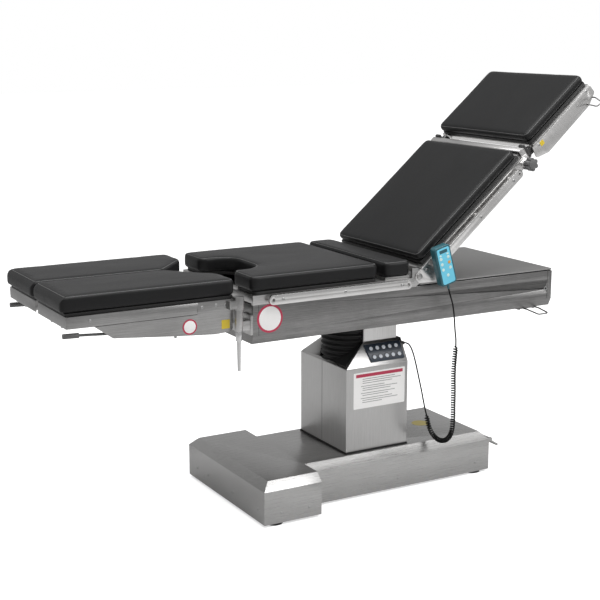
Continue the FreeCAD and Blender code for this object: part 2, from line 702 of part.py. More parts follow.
def make_pedal():
    x = BASE_HEAD_END + PEDAL_AXIS_OUT
    half = BASE_NARROW_HALF - PEDAL_INSET - PEDAL_EAR - PEDAL_SIDE_GAP
    knuckle = rod_y(x, -half, half, PEDAL_AXIS_Z, PEDAL_KNUCKLE)
    plate = box(0, PEDAL_REACH, -half, half, -PEDAL_SHEET / 2, PEDAL_SHEET / 2)
    lip = rod_y(PEDAL_REACH, -half, half, 0, PEDAL_SHEET)
    plate = fuse(plate, lip)
    plate.rotate(V(0, 0, 0), V(0, 1, 0), PEDAL_SLOPE)
    plate.translate(V(x, 0, PEDAL_AXIS_Z))
    pedal = fuse(knuckle, plate)
    depth = 2 * PEDAL_EAR + PAST
    bore = rod_y(x, -half - PAST, -half - PAST + depth, PEDAL_AXIS_Z, PEDAL_PIN + RUNNING_GAP)
    return pedal.cut(bore).cut(mirrored(bore))


def foot_places():
    """The middle of each foot."""
    return [(BASE_LEG_END + FOOT_INSET_X, -BASE_WIDE_HALF + FOOT_INSET_Y),
            (BASE_LEG_END + FOOT_INSET_X, BASE_WIDE_HALF - FOOT_INSET_Y),
            (BASE_HEAD_END - FOOT_INSET_X, -BASE_NARROW_HALF + FOOT_INSET_Y),
            (BASE_HEAD_END - FOOT_INSET_X, BASE_NARROW_HALF - FOOT_INSET_Y)]


def make_foot(x, y):
    pad = rod_z(x, y, 0, FOOT_PAD, FOOT_RADIUS)
    pad = pad.makeChamfer(FOOT_CHAMFER, [e for e in pad.Edges if abs(e.BoundBox.ZMin - FOOT_PAD) < HAIR])
    return fuse(pad, rod_z(x, y, FOOT_PAD, FRAME_BOTTOM, FOOT_STEM_RADIUS))


def make_base_frame():
    leg_x = BASE_LEG_END + BASE_SHEET + FRAME_MARGIN
    head_x = BASE_HEAD_END - BASE_SHEET - FRAME_MARGIN
    wide = BASE_WIDE_HALF - BASE_SHEET - FRAME_MARGIN / 2
    narrow = BASE_NARROW_HALF - BASE_SHEET - FRAME_MARGIN / 2
    y0, y1 = RAIL_BEAM_Y
    cross_top = FRAME_BOTTOM + CROSS_BEAM_HEIGHT
    beams = [box(leg_x, head_x, -y1, -y0, FRAME_BOTTOM, RAIL_BEAM_TOP),
             box(leg_x, head_x, y0, y1, FRAME_BOTTOM, RAIL_BEAM_TOP),
             box(leg_x, leg_x + CROSS_BEAM_WIDTH, -wide, wide, FRAME_BOTTOM, cross_top),
             box(head_x - CROSS_BEAM_WIDTH, head_x, -narrow, narrow, FRAME_BOTTOM, cross_top)]
    bore_leg, bore_head, _ = column_bore()
    beams.append(box(bore_leg - COLUMN_PLATE_MARGIN, bore_head + COLUMN_PLATE_MARGIN, -y1, y1, RAIL_BEAM_TOP,
                     COLUMN_FOOT))
    for x0, x1 in unit_places():
        beams.append(box(x0 - TRAY_MARGIN, x1 + TRAY_MARGIN, -y0, y0, FRAME_BOTTOM, FRAME_BOTTOM + TRAY_SHEET))
    return fuse(*beams)


def unit_places():
    """Where the battery pack and the control unit stand along X, clear of the column plate."""
    bore_leg, bore_head, _ = column_bore()
    return [(bore_leg - UNIT_FROM_COLUMN - UNIT_LENGTH, bore_leg - UNIT_FROM_COLUMN),
            (bore_head + UNIT_FROM_COLUMN, bore_head + UNIT_FROM_COLUMN + UNIT_LENGTH)]


def make_unit(place):
    half = RAIL_BEAM_Y[0] - UNIT_SIDE_GAP
    floor = FRAME_BOTTOM + TRAY_SHEET
    body = box(place[0], place[1], -half, half, floor, floor + UNIT_HEIGHT)
    return body.makeFillet(UNIT_ROUND, edges_along(body, "z"))


def cover_solid(sheet):
    """The outside of the column cover with its hipped roof, or its inside when sheet isn't zero."""
    below = COVER_BOTTOM - COVER_WALL / 2
    ends = ((-COVER_HALF_Y, below), (COVER_HALF_Y, below), (COVER_HALF_Y, COVER_WALL_TOP),
            (COVER_ROOF_HALF_Y, COVER_ROOF_TOP), (-COVER_ROOF_HALF_Y, COVER_ROOF_TOP),
            (-COVER_HALF_Y, COVER_WALL_TOP))
    sides = ((-COVER_HALF_X, below), (COVER_HALF_X, below), (COVER_HALF_X, COVER_ROOF_TOP),
             (COVER_ROOF_LEG_X, COVER_ROOF_TOP), (-COVER_HALF_X, COVER_WALL_TOP))
    if sheet:
        ends, sides = inset(ends, sheet), inset(sides, sheet)
    block = prism("x", ends, -COVER_HALF_X, COVER_HALF_X).common(prism("y", sides, -COVER_HALF_Y, COVER_HALF_Y))
    return block.common(box(-COVER_HALF_X, COVER_HALF_X, -COVER_HALF_Y, COVER_HALF_Y, COVER_BOTTOM,
                            COVER_ROOF_TOP + PAST))


def sleeve_hole():
    """The mouth in the roof that the moving sleeve passes through."""
    return box(SLEEVE_LEG_X - SLEEVE_GAP, SLEEVE_HEAD_X + SLEEVE_GAP, -SLEEVE_HALF_Y - SLEEVE_GAP,
               SLEEVE_HALF_Y + SLEEVE_GAP, COVER_WALL_TOP, COVER_ROOF_TOP + PAST)


def cutout_prism(margin):
    """The cut-out in the roof's leg-end slope, seen from above."""
    foot = -COVER_HALF_X + CUTOUT_MARGIN + margin
    slant = COVER_SIDE_SLOPE / COVER_LEG_SLOPE
    near_foot = -COVER_HALF_Y + CUTOUT_SIDE_MARGIN + (CUTOUT_MARGIN + margin) * slant + margin
    near_top = -COVER_ROOF_HALF_Y + CUTOUT_TOP_MARGIN + margin
    top = SLEEVE_LEG_X - BELLOWS_GAP
    far = CUTOUT_FAR_Y - margin
    return prism("z", ((foot, near_foot), (top, near_top), (top, far + CUTOUT_FLARE), (foot, far)), BELLOWS_BOTTOM,
                 COVER_ROOF_TOP + PAST)


def make_column_cover():
    cover = cover_solid(0.0).cut(cover_solid(COVER_SHEET))
    bellows = rod_z(SLEEVE_LEG_X, 0, BELLOWS_BOTTOM, COVER_ROOF_TOP + PAST, BELLOWS_RADIUS + BELLOWS_HOLE_GAP)
    bellows = bellows.common(box(-COVER_HALF_X, SLEEVE_LEG_X, -COVER_HALF_Y, COVER_HALF_Y, 0, PIVOT_Z))
    cover = cover.cut(sleeve_hole()).cut(cutout_prism(0.0)).cut(bellows)
    cover = cover.cut(gland_hole())
    ledge = box(-COVER_HALF_X + COVER_SHEET, SLEEVE_LEG_X - BELLOWS_GAP, -COVER_HALF_Y + COVER_SHEET,
                COVER_HALF_Y - COVER_SHEET, BELLOWS_BOTTOM - BELLOWS_LEDGE, BELLOWS_BOTTOM)
    return fuse(cover, ledge)


def make_cutout_sheet():
    """The black sheet behind the cut-out, with a half-round hole for the bellows."""
    inner = cover_solid(COVER_SHEET)
    lower = inner.copy()
    lower.translate(V(0, 0, -CUTOUT_SHEET))
    skin = inner.cut(lower)
    skin = skin.common(cutout_prism(-CUTOUT_LAP))
    hole = rod_z(SLEEVE_LEG_X, 0, BELLOWS_BOTTOM, COVER_ROOF_TOP + PAST, BELLOWS_RADIUS + BELLOWS_LIP_GAP)
    skin = skin.cut(hole).cut(box(SLEEVE_LEG_X - SLEEVE_GAP, COVER_HALF_X, -COVER_HALF_Y, COVER_HALF_Y, 0, PIVOT_Z))
    solids = sorted(skin.Solids, key=lambda s: -s.Volume)
    return solids[0]


def make_gasket():
    outer = box(-COVER_HALF_X - GASKET_LIP, COVER_HALF_X + GASKET_LIP, -COVER_HALF_Y - GASKET_LIP,
                COVER_HALF_Y + GASKET_LIP, BASE_TOP, COVER_BOTTOM)
    rim = COVER_SHEET + GASKET_LIP
    return outer.cut(box(-COVER_HALF_X + rim, COVER_HALF_X - rim, -COVER_HALF_Y + rim, COVER_HALF_Y - rim,
                         BASE_TOP - PAST, COVER_BOTTOM + PAST))


def roof_angle():
    return math.degrees(math.atan2(COVER_ROOF, COVER_SIDE_SLOPE))


def onto_roof(shape):
    """Lays a piece modelled flat, Y up the slope and Z out of it, onto the near slope of the roof."""
    shape = shape.copy()
    shape.rotate(V(0, 0, 0), V(1, 0, 0), roof_angle())
    shape.translate(V(0, -COVER_HALF_Y, COVER_WALL_TOP))
    return shape


def make_panel():
    plate = prism("z", ((PANEL_LEFT_FOOT, PANEL_FOOT, PANEL_ROUND), (PANEL_RIGHT, PANEL_FOOT, PANEL_ROUND),
                        (PANEL_RIGHT, PANEL_TOP, PANEL_ROUND), (PANEL_LEFT_TOP, PANEL_TOP, PANEL_ROUND)),
                  0, PANEL_SHEET)
    return onto_roof(plate)


def make_panel_keys():
    left, right = PANEL_LEFT_FOOT + KEY_MARGIN, PANEL_RIGHT - KEY_MARGIN
    low, high = PANEL_FOOT + KEY_MARGIN, PANEL_TOP - KEY_MARGIN
    keys = []
    for row in range(KEY_ROWS):
        for column in range(KEY_COLUMNS):
            x = left + (right - left) * column / (KEY_COLUMNS - 1) - KEY_ROW_SHIFT * row
            y = low + (high - low) * row / (KEY_ROWS - 1)
            keys.append(rod_z(x, y, PANEL_SHEET, PANEL_SHEET + KEY_HEIGHT, KEY_RADIUS))
    return onto_roof(Part.makeCompound(keys))


def make_inner_column():
    leg_x, head_x, half = column_bore()
    tube = box(leg_x, head_x, -half, half, COLUMN_FOOT, COLUMN_TOP)
    wall = COLUMN_WALL
    return tube.cut(box(leg_x + wall, head_x - wall, -half + wall, half - wall, COLUMN_FOOT - PAST,
                        COLUMN_TOP + PAST))


def column_middle():
    return (SLEEVE_LEG_X + SLEEVE_HEAD_X) / 2


def make_lift_actuator():
    x = column_middle()
    body = rod_z(x, 0, COLUMN_FOOT, ACTUATOR_TOP, ACTUATOR_RADIUS)
    return body.cut(rod_z(x, 0, COLUMN_FOOT + ACTUATOR_FLOOR, ACTUATOR_TOP + PAST, LIFT_ROD_RADIUS + RUNNING_GAP))


def make_lift_rod():
    return rod_z(column_middle(), 0, LIFT_ROD_BOTTOM, SLEEVE_TOP, LIFT_ROD_RADIUS)


def make_sleeve():
    wall = SLEEVE_SHEET
    outer = box(SLEEVE_LEG_X, SLEEVE_HEAD_X, -SLEEVE_HALF_Y, SLEEVE_HALF_Y, SLEEVE_BOTTOM, SLEEVE_TOP)
    outer = outer.makeFillet(SLEEVE_ROUND, edges_along(outer, "z"))
    return outer.cut(box(SLEEVE_LEG_X + wall, SLEEVE_HEAD_X - wall, -SLEEVE_HALF_Y + wall, SLEEVE_HALF_Y - wall,
                         SLEEVE_BOTTOM - PAST, SLEEVE_TOP + PAST))


def make_bellows():
    """Half-round folds, turned about the sleeve's leg-end face and cut off beside it."""
    height = SLEEVE_TOP - BELLOWS_BOTTOM
    step = height / BELLOWS_FOLDS
    outer = []
    for i in range(BELLOWS_FOLDS):
        low = BELLOWS_BOTTOM + i * step
        outer.append((BELLOWS_RADIUS - BELLOWS_FOLD, low))
        outer.append((BELLOWS_RADIUS, low + step / 2))
    outer.append((BELLOWS_RADIUS - BELLOWS_FOLD, SLEEVE_TOP))
    inner = [(r - BELLOWS_WALL, z) for r, z in reversed(outer)]
    ring = Part.Face(outline("y", outer + inner, 0)).revolve(V(0, 0, 0), V(0, 0, 1), 360)
    ring.translate(V(SLEEVE_LEG_X, 0, 0))
    reach = BELLOWS_RADIUS + PAST
    return ring.common(box(SLEEVE_LEG_X - reach, SLEEVE_LEG_X - BELLOWS_GAP, -reach, reach, 0, PIVOT_Z))


def make_yoke():
    plate = box(YOKE_LEG_X, YOKE_HEAD_X, -YOKE_HALF_Y, YOKE_HALF_Y, SLEEVE_TOP, YOKE_TOP)
    plate = plate.makeFillet(YOKE_CORNER, edges_along(plate, "z"))
    round_end = YOKE_EAR_RADIUS
    foot = round_end + YOKE_EAR_FLARE
    shoulder = PIVOT_Z - YOKE_EAR_SHOULDER
    ear = prism("y", ((-foot, YOKE_TOP), (foot, YOKE_TOP), (round_end, shoulder),
                      (round_end, PIVOT_Z + round_end, round_end - HAIR),
                      (-round_end, PIVOT_Z + round_end, round_end - HAIR), (-round_end, shoulder)),
                -YOKE_EAR_Y[1], -YOKE_EAR_Y[0])
    ear = ear.cut(rod_y(0, -YOKE_EAR_Y[1] - PAST, -YOKE_EAR_Y[0] + PAST, PIVOT_Z, TRUNNION_RADIUS + RUNNING_GAP))
    return fuse(plate, *both_sides(ear))


def make_cradle():
    half_y = YOKE_EAR_Y[0] - CRADLE_GAP
    block = box(-CRADLE_HALF_X, CRADLE_HALF_X, -half_y, half_y, PIVOT_Z - CRADLE_HALF_Z, PIVOT_Z + CRADLE_HALF_Z)
    block = block.makeFillet(CRADLE_ROUND, edges_along(block, "y"))
    end = YOKE_EAR_Y[1] + TRUNNION_OUT
    trunnions = rod_y(0, -end, end, PIVOT_Z, TRUNNION_RADIUS)
    reach = HANGER_X[1] + SHAFT_OUT
    shaft = rod_x(-reach, reach, 0, PIVOT_Z, SHAFT_RADIUS)
    return fuse(block, trunnions, shaft)


def make_hangers():
    top = CHASSIS_TOP - CHASSIS_SHEET
    foot = PIVOT_Z - HANGER_FOOT
    pair = []
    for low, high in (HANGER_X, (-HANGER_X[1], -HANGER_X[0])):
        plate = prism("x", ((-HANGER_HALF_Y, top), (-HANGER_HALF_Y, PIVOT_Z), (-HANGER_FOOT, foot, HANGER_ROUND),
                            (HANGER_FOOT, foot, HANGER_ROUND), (HANGER_HALF_Y, PIVOT_Z), (HANGER_HALF_Y, top)),
                      low, high)
        pair.append(plate.cut(rod_x(low - PAST, high + PAST, 0, PIVOT_Z, SHAFT_RADIUS + RUNNING_GAP)))
    return Part.makeCompound(pair)


def chassis_section():
    return ((-CHASSIS_BOTTOM_HALF, CHASSIS_BOTTOM), (CHASSIS_BOTTOM_HALF, CHASSIS_BOTTOM),
            (CHASSIS_HALF, CHASSIS_FOLD), (CHASSIS_HALF, CHASSIS_TOP), (-CHASSIS_HALF, CHASSIS_TOP),
            (-CHASSIS_HALF, CHASSIS_FOLD))


def make_chassis():
    outer = prism("x", chassis_section(), CHASSIS_LEG_END, CHASSIS_HEAD_END)
    inner = prism("x", inset(chassis_section(), CHASSIS_SHEET), CHASSIS_LEG_END + CHASSIS_SHEET,
                  CHASSIS_HEAD_END - CHASSIS_SHEET)
    shell = outer.cut(inner)
    shell = shell.cut(box(-CHASSIS_MOUTH_X, CHASSIS_MOUTH_X, -CHASSIS_MOUTH_Y, CHASSIS_MOUTH_Y,
                          CHASSIS_BOTTOM - PAST, CHASSIS_BOTTOM + 2 * CHASSIS_SHEET))
    hole = rod_y(CHASSIS_HEAD_END - SIDE_HOLE_IN, -CHASSIS_HALF - PAST, -CHASSIS_HALF + 2 * CHASSIS_SHEET,
                 CHASSIS_TOP - SIDE_HOLE_DROP, SIDE_HOLE_RADIUS)
    slot_foot = CHASSIS_TOP - END_SLOT_DROP
    slot = box(CHASSIS_LEG_END - PAST, CHASSIS_LEG_END + 2 * CHASSIS_SHEET, END_SLOT_Y[0], END_SLOT_Y[1],
               slot_foot, slot_foot + END_SLOT_HEIGHT)
    shell = shell.cut(hole).cut(mirrored(hole)).cut(slot).cut(mirrored(slot))
    radius = KIDNEY_POST_RADIUS
    foot = CHASSIS_BOTTOM + KIDNEY_GUIDE_RISE
    guide = rod_z(KIDNEY_POST_X, -KIDNEY_POST_Y, foot, CHASSIS_TOP - CHASSIS_SHEET, radius + KIDNEY_GUIDE_WALL)
    bore = rod_z(KIDNEY_POST_X, -KIDNEY_POST_Y, foot - PAST, CHASSIS_TOP + PAST, radius + RUNNING_GAP)
    shell = fuse(shell, *both_sides(guide))
    return shell.cut(bore).cut(mirrored(bore))


def make_lid():
    low = CHASSIS_TOP + SEAL_SHEET
    lid = box(LID_LEG_X, CHASSIS_HEAD_END, -CHASSIS_HALF, CHASSIS_HALF, low, low + LID_SHEET)
    return lid.makeFillet(LID_ROUND, edges_along(lid, "z"))


def make_seal():
    rim = SEAL_INSET + SEAL_RIM
    outer = box(LID_LEG_X + SEAL_INSET, CHASSIS_HEAD_END - SEAL_INSET, -CHASSIS_HALF + SEAL_INSET,
                CHASSIS_HALF - SEAL_INSET, CHASSIS_TOP, CHASSIS_TOP + SEAL_SHEET)
    inner = box(LID_LEG_X + rim, CHASSIS_HEAD_END - rim, -CHASSIS_HALF + rim, CHASSIS_HALF - rim,
                CHASSIS_TOP - PAST, CHASSIS_TOP + SEAL_SHEET + PAST)
    return outer.cut(inner)


def make_seat_frame():
    side = box(CHASSIS_LEG_END, SEAT_FRAME_HEAD_X, -CHASSIS_HALF, -CHASSIS_HALF + SEAT_FRAME_SHEET, CHASSIS_TOP,
               SEAT_FRAME_TOP)
    behind = HINGE_X - EAR_BEHIND
    foot_leg, foot_head = HINGE_X + EAR_FOOT[0], HINGE_X + EAR_FOOT[1]
    ear = prism("y", ((foot_leg, CHASSIS_TOP), (foot_head, CHASSIS_TOP, EAR_ROUND),
                      (HINGE_X + HINGE_ROUND, HINGE_Z - HINGE_ROUND, HINGE_ROUND - PAST),
                      (HINGE_X + HINGE_ROUND, HINGE_Z + HINGE_ROUND, HINGE_ROUND - PAST),
                      (HINGE_X - EAR_ROUND, EAR_TOP, EAR_ROUND), (behind, EAR_TOP, EAR_ROUND),
                      (behind, SEAT_FRAME_TOP), (foot_leg, SEAT_FRAME_TOP)), -CHASSIS_HALF, -CHASSIS_HALF + EAR_SHEET)
    head_start = -BACK_SIDE[1] - HINGE_PLAY
    pin = rod_y(HINGE_X, head_start, -CHASSIS_HALF + PAST, HINGE_Z, HINGE_PIN)
    head = rod_y(HINGE_X, head_start - HINGE_HEAD_LENGTH, head_start, HINGE_Z, HINGE_HEAD)
    near = fuse(side, ear, pin, head)
    inner = CHASSIS_HALF - SEAT_FRAME_SHEET
    bars = [box(x, x + width, -inner, inner, SEAT_FRAME_TOP - SEAT_CROSS_DEPTH, SEAT_FRAME_TOP)
            for x, width in ((CHASSIS_LEG_END, SEAT_LEG_BAR), (SEAT_PAD_HEAD_X, SEAT_MIDDLE_BAR),
                             (SEAT_FRAME_HEAD_X - SEAT_HEAD_BAR, SEAT_HEAD_BAR))]
    return fuse(near, mirrored(near), *bars)


def seat_outline(shrink):
    leg, head = SEAT_PAD_LEG_X + shrink, SEAT_PAD_HEAD_X - shrink
    half = PAD_HALF - shrink
    cut = SEAT_CUT_HALF + shrink
    depth = SEAT_PAD_LEG_X + SEAT_CUT_DEPTH + shrink
    corner = PAD_CORNER
    return ((leg, -half, corner), (head, -half, corner), (head, half, corner), (leg, half, corner),
            (leg, cut, SEAT_LIP_ROUND), (depth, cut, SEAT_CUT_ROUND), (depth, -cut, SEAT_CUT_ROUND),
            (leg, -cut, SEAT_LIP_ROUND))


def make_seat_board():
    return prism("z", seat_outline(BOARD_INSET), SEAT_FRAME_TOP, SEAT_FRAME_TOP + SEAT_BOARD)


def make_seat_pad():
    pad = prism("z", seat_outline(0.0), SEAT_FRAME_TOP + SEAT_BOARD, PAD_TOP)
    return rounded_top(pad, PAD_TOP, PAD_EDGE)


def block_pad(x0, x1, half, low, high, edge):
    pad = prism("z", ((x0, -half, PAD_CORNER), (x1, -half, PAD_CORNER), (x1, half, PAD_CORNER),
                      (x0, half, PAD_CORNER)), low, high)
    return rounded_top(pad, high, edge)


def make_kidney_pad():
    return block_pad(KIDNEY_LEG_X, KIDNEY_HEAD_X, PAD_HALF, SEAT_FRAME_TOP + KIDNEY_SHEET, PAD_TOP, PAD_EDGE)


def make_kidney_frame():
    inset_x, inset_y = KIDNEY_SHEET_INSET
    plate = box(KIDNEY_LEG_X + inset_x, KIDNEY_HEAD_X - inset_x, -PAD_HALF + inset_y, PAD_HALF - inset_y,
                SEAT_FRAME_TOP, SEAT_FRAME_TOP + KIDNEY_SHEET)
    post = rod_z(KIDNEY_POST_X, -KIDNEY_POST_Y, SEAT_FRAME_TOP - KIDNEY_POST_LENGTH, SEAT_FRAME_TOP + PAST,
                 KIDNEY_POST_RADIUS)
    return fuse(plate, *both_sides(post))


def make_rail(ends, middle, spacers, carrier):
    """A near accessory rail with its spacers; carrier is how far out the face behind it lies."""
    half = RAIL_HEIGHT / 2
    inner = -RAIL_OUTER + RAIL_THICK
    bar = prism("y", ((ends[0], middle - half, half - HAIR), (ends[1], middle - half, half - HAIR),
                      (ends[1], middle + half, half - HAIR), (ends[0], middle + half, half - HAIR)),
                -RAIL_OUTER, inner)
    posts = [rod_y(x, inner - PAST, -carrier, middle, SPACER_RADIUS) for x in spacers]
    rail = fuse(bar, *posts)
    for x in (ends[0] + RAIL_HOLE_IN, ends[1] - RAIL_HOLE_IN):
        rail = rail.cut(rod_y(x, -RAIL_OUTER - PAST, inner + PAST, middle, RAIL_HOLE))
    return rail


def bar_passage(start, end, gap):
    """The near bar of the head mount, grown by gap on its four long faces."""
    return box(start, end, -BAR_Y[1] - gap, -BAR_Y[0] + gap, BAR_LOW - gap, BAR_HIGH + gap)


def make_back_frame():
    side = prism("y", ((-HINGE_ROUND, BACK_HIGH + 2, HINGE_ROUND - 2), (-HINGE_ROUND + 1, -HINGE_ROUND - 1, 12),
                       (BACK_WEB_TIP[0], BACK_WEB_TIP[1], BACK_WEB_ROUND), (BACK_WEB_END, BACK_LOW),
                       (BACK_END, BACK_LOW), (BACK_END, BACK_HIGH), (HINGE_ROUND + 10, BACK_HIGH)),
                 -BACK_SIDE[1], -BACK_SIDE[0])
    side = side.cut(rod_y(0, -BACK_SIDE[1] - PAST, -BACK_SIDE[0] + PAST, 0, HINGE_PIN + RUNNING_GAP))
    flange = box(BACK_BARS_AT[0], BACK_END_BAR[0], -BACK_SIDE[1] - BACK_FLANGE_OUT, -BACK_SIDE[0] + BACK_FLANGE_IN,
                 BACK_HIGH, BACK_HIGH + BACK_FLANGE)
    wall = SOCKET_WALL
    socket = box(SOCKET_START, BACK_END_BAR[0], -BACK_SIDE[0] - LAP, -BAR_Y[0] + wall, BAR_LOW - wall,
                 BAR_HIGH + wall)
    block = box(CLAMP_S - CLAMP_BLOCK_HALF, CLAMP_S + CLAMP_BLOCK_HALF, -CLAMP_BLOCK_OUT, -BACK_SIDE[1] + LAP,
                CLAMP_T - CLAMP_BLOCK_HALF, CLAMP_T + CLAMP_BLOCK_HALF)
    block = block.makeFillet(CLAMP_BLOCK_ROUND, edges_along(block, "y"))
    near = fuse(side, flange, socket, block)
    bars = [box(s, s + BACK_BAR_WIDTH, -BACK_SIDE[0], BACK_SIDE[0], BACK_LOW, BACK_HIGH) for s in BACK_BARS_AT]
    end_bar = box(BACK_END_BAR[0], BACK_END_BAR[1], -BACK_SIDE[0], BACK_SIDE[0], BACK_LOW, BACK_END_BAR_TOP)
    end_bar = end_bar.makeFillet(BACK_END_BAR_ROUND, [e for e in edges_along(end_bar, "y")
                                                      if e.BoundBox.ZMin > BACK_END_BAR_TOP - PAST])
    frame = fuse(near, mirrored(near), end_bar, *bars)
    for passage in both_sides(bar_passage(SOCKET_START - PAST, BACK_END_BAR[1] + PAST, BAR_GAP)):
        frame = frame.cut(passage)
    for screw in both_sides(rod_y(CLAMP_S, -CLAMP_BLOCK_OUT - PAST, -BAR_Y[1], CLAMP_T, CLAMP_SCREW + RUNNING_GAP)):
        frame = frame.cut(screw)
    return frame


def make_back_board():
    low = BACK_HIGH + BACK_FLANGE
    return box(BACK_PAD_ENDS[0], BACK_PAD_ENDS[1], -PAD_HALF + BOARD_INSET, PAD_HALF - BOARD_INSET, low,
               low + BACK_BOARD)


def make_back_pad():
    low = BACK_HIGH + BACK_FLANGE + BACK_BOARD
    high = low + BACK_PAD_THICK
    return block_pad(BACK_PAD_ENDS[0], BACK_PAD_ENDS[1], PAD_HALF, low, high, PAD_EDGE)


def make_head_mount():
    y0, y1 = BAR_Y
    bar = box(BAR_START, BAR_END, -y1, -y0, BAR_LOW, BAR_HIGH)
    post = box(BACK_END_BAR[1] + FORK_PLAY, BAR_END, -y1, -y0, BAR_LOW, FORK_TOP)
    post = post.makeFillet(POST_CORNER, [e for e in edges_along(post, "y") if e.BoundBox.ZMin > FORK_TOP - PAST])
    root = BAR_END - FORK_ROOT
    cheek = ((root, -FORK_ROUND), (HEAD_AXIS + FORK_ROUND, -FORK_ROUND, FORK_ROUND - HAIR),
             (HEAD_AXIS + FORK_ROUND, FORK_ROUND, FORK_ROUND - HAIR), (root, FORK_ROUND))
    cheeks = [prism("y", cheek, y, y + FORK_CHEEK) for y in (-y1, -y0 - FORK_CHEEK)]
    pin = rod_y(HEAD_AXIS, -y1, -y0, 0, HEAD_PIN)
    near = fuse(bar, post, pin, *cheeks)
    tie = box(BAR_START, BAR_START + TIE_LENGTH, -y0, y0, BAR_LOW, BAR_HIGH)
    return fuse(near, mirrored(near), tie)


def make_clamp():
    """A near clamp knob: its screw presses on the bar of the head mount."""
    inner = -KNOB_REACH + KNOB_LENGTH
    screw = rod_y(CLAMP_S, inner, -BAR_Y[1] - LAP, CLAMP_T, CLAMP_SCREW)
    head = rod_y(CLAMP_S, -KNOB_REACH, inner, CLAMP_T, KNOB_RADIUS)
    lobes = []
    for i in range(KNOB_LOBES):
        turn = 2 * math.pi * i / KNOB_LOBES
        lobes.append(rod_y(CLAMP_S + KNOB_RADIUS * math.cos(turn), -KNOB_REACH + KNOB_LOBE_IN, inner - KNOB_LOBE_IN,
                           CLAMP_T + KNOB_RADIUS * math.sin(turn), KNOB_LOBE))
    return fuse(screw, head, *lobes)


def make_head_frame():
    corners = [(HEAD_PLATE[0][0], HEAD_PLATE[0][1], HEAD_PLATE_HIP_ROUND)]
    corners += [(s, t, HEAD_PLATE_ROUND) for s, t in HEAD_PLATE[1:]]
    side = prism("y", corners, -HEAD_SIDE[1], -HEAD_SIDE[0])
    side = side.cut(rod_y(HEAD_HOLE[0], -HEAD_SIDE[1] - PAST, -HEAD_SIDE[0] + PAST, HEAD_HOLE[1], HEAD_HOLE_RADIUS))
    gap = CRADLE_GAP
    y0, y1 = BAR_Y[0] + FORK_CHEEK + gap, BAR_Y[1] - FORK_CHEEK - gap
    bar_start = HEAD_BARS_AT[0] + PAST
    reach = HEAD_KNUCKLE_ROUND
    knuckle = prism("y", ((bar_start, -reach), (HEAD_AXIS - reach, -reach, reach - HAIR),
                          (HEAD_AXIS - reach, reach, reach - HAIR), (bar_start, reach)), -y1, -y0)
    knuckle = knuckle.cut(rod_y(HEAD_AXIS, -y1 - PAST, -y0 + PAST, 0, HEAD_PIN + RUNNING_GAP))
    near = [side, knuckle]
    bars = [box(s, s + HEAD_BAR_WIDTH, -HEAD_SIDE[0] - LAP, HEAD_SIDE[0] + LAP, HEAD_CROSS_LOW, HEAD_DECK_LOW)
            for s in HEAD_BARS_AT]
    deck = box(HEAD_PAD_ENDS[0] + HEAD_DECK_INSET, HEAD_PAD_ENDS[1] - HEAD_DECK_INSET, -HEAD_SIDE[1], HEAD_SIDE[1],
               HEAD_DECK_LOW, HEAD_DECK_HIGH)
    frame = fuse(deck, *near, *[mirrored(piece) for piece in near], *bars)
    for at in LOOP_AT:
        frame = frame.cut(rod_y(HEAD_END + at, -HEAD_SIDE[1] - PAST, -HEAD_SIDE[0] + PAST, LOOP_LEG_T,
                                WIRE_RADIUS + WIRE_GAP))
    return frame


def make_head_pad():
    low = HEAD_DECK_HIGH
    board = box(HEAD_PAD_ENDS[0] + BOARD_INSET, HEAD_PAD_ENDS[1] - BOARD_INSET, -PAD_HALF + BOARD_INSET,
                PAD_HALF - BOARD_INSET, low, low + BACK_BOARD)
    pad = block_pad(HEAD_PAD_ENDS[0], HEAD_PAD_ENDS[1], PAD_HALF, low + BACK_BOARD, low + BACK_BOARD + BACK_PAD_THICK,
                    PAD_EDGE)
    return Part.makeCompound([board, pad])


def wire_path(points, bend):
    """Straight runs joined by tangent arcs: bend is their radius, or a share of the run where it is None."""
    places = [V(*p) for p in points]
    edges = []
    radii = []
    last = places[0]
    for before, here, after in zip(places, places[1:], places[2:]):
        back = (before - here).normalize()
        on = (after - here).normalize()
        half_turn = (math.pi - back.getAngle(on)) / 2
        run = min((before - here).Length, (after - here).Length)
        radius = bend if bend else 0.45 * run / math.tan(half_turn)
        reach = radius * math.tan(half_turn)
        centre = here + (back + on).normalize() * (radius / math.cos(half_turn))
        start, end = here + back * reach, here + on * reach
        edges.append(Part.LineSegment(last, start).toShape())
        edges.append(Part.Arc(start, centre + (here - centre).normalize() * radius, end).toShape())
        radii.append(radius)
        last = end
    edges.append(Part.LineSegment(last, places[-1]).toShape())
    return Part.Wire(edges), radii


def tube_along(points, radius, bend=None):
    path, radii = wire_path(points, bend)
    start = V(*points[0])
    circle = Part.Wire(Part.makeCircle(radius, start, V(*points[1]) - start))
    tube = path.makePipeShell([circle], True, True)
    return tube, path.Length, radii


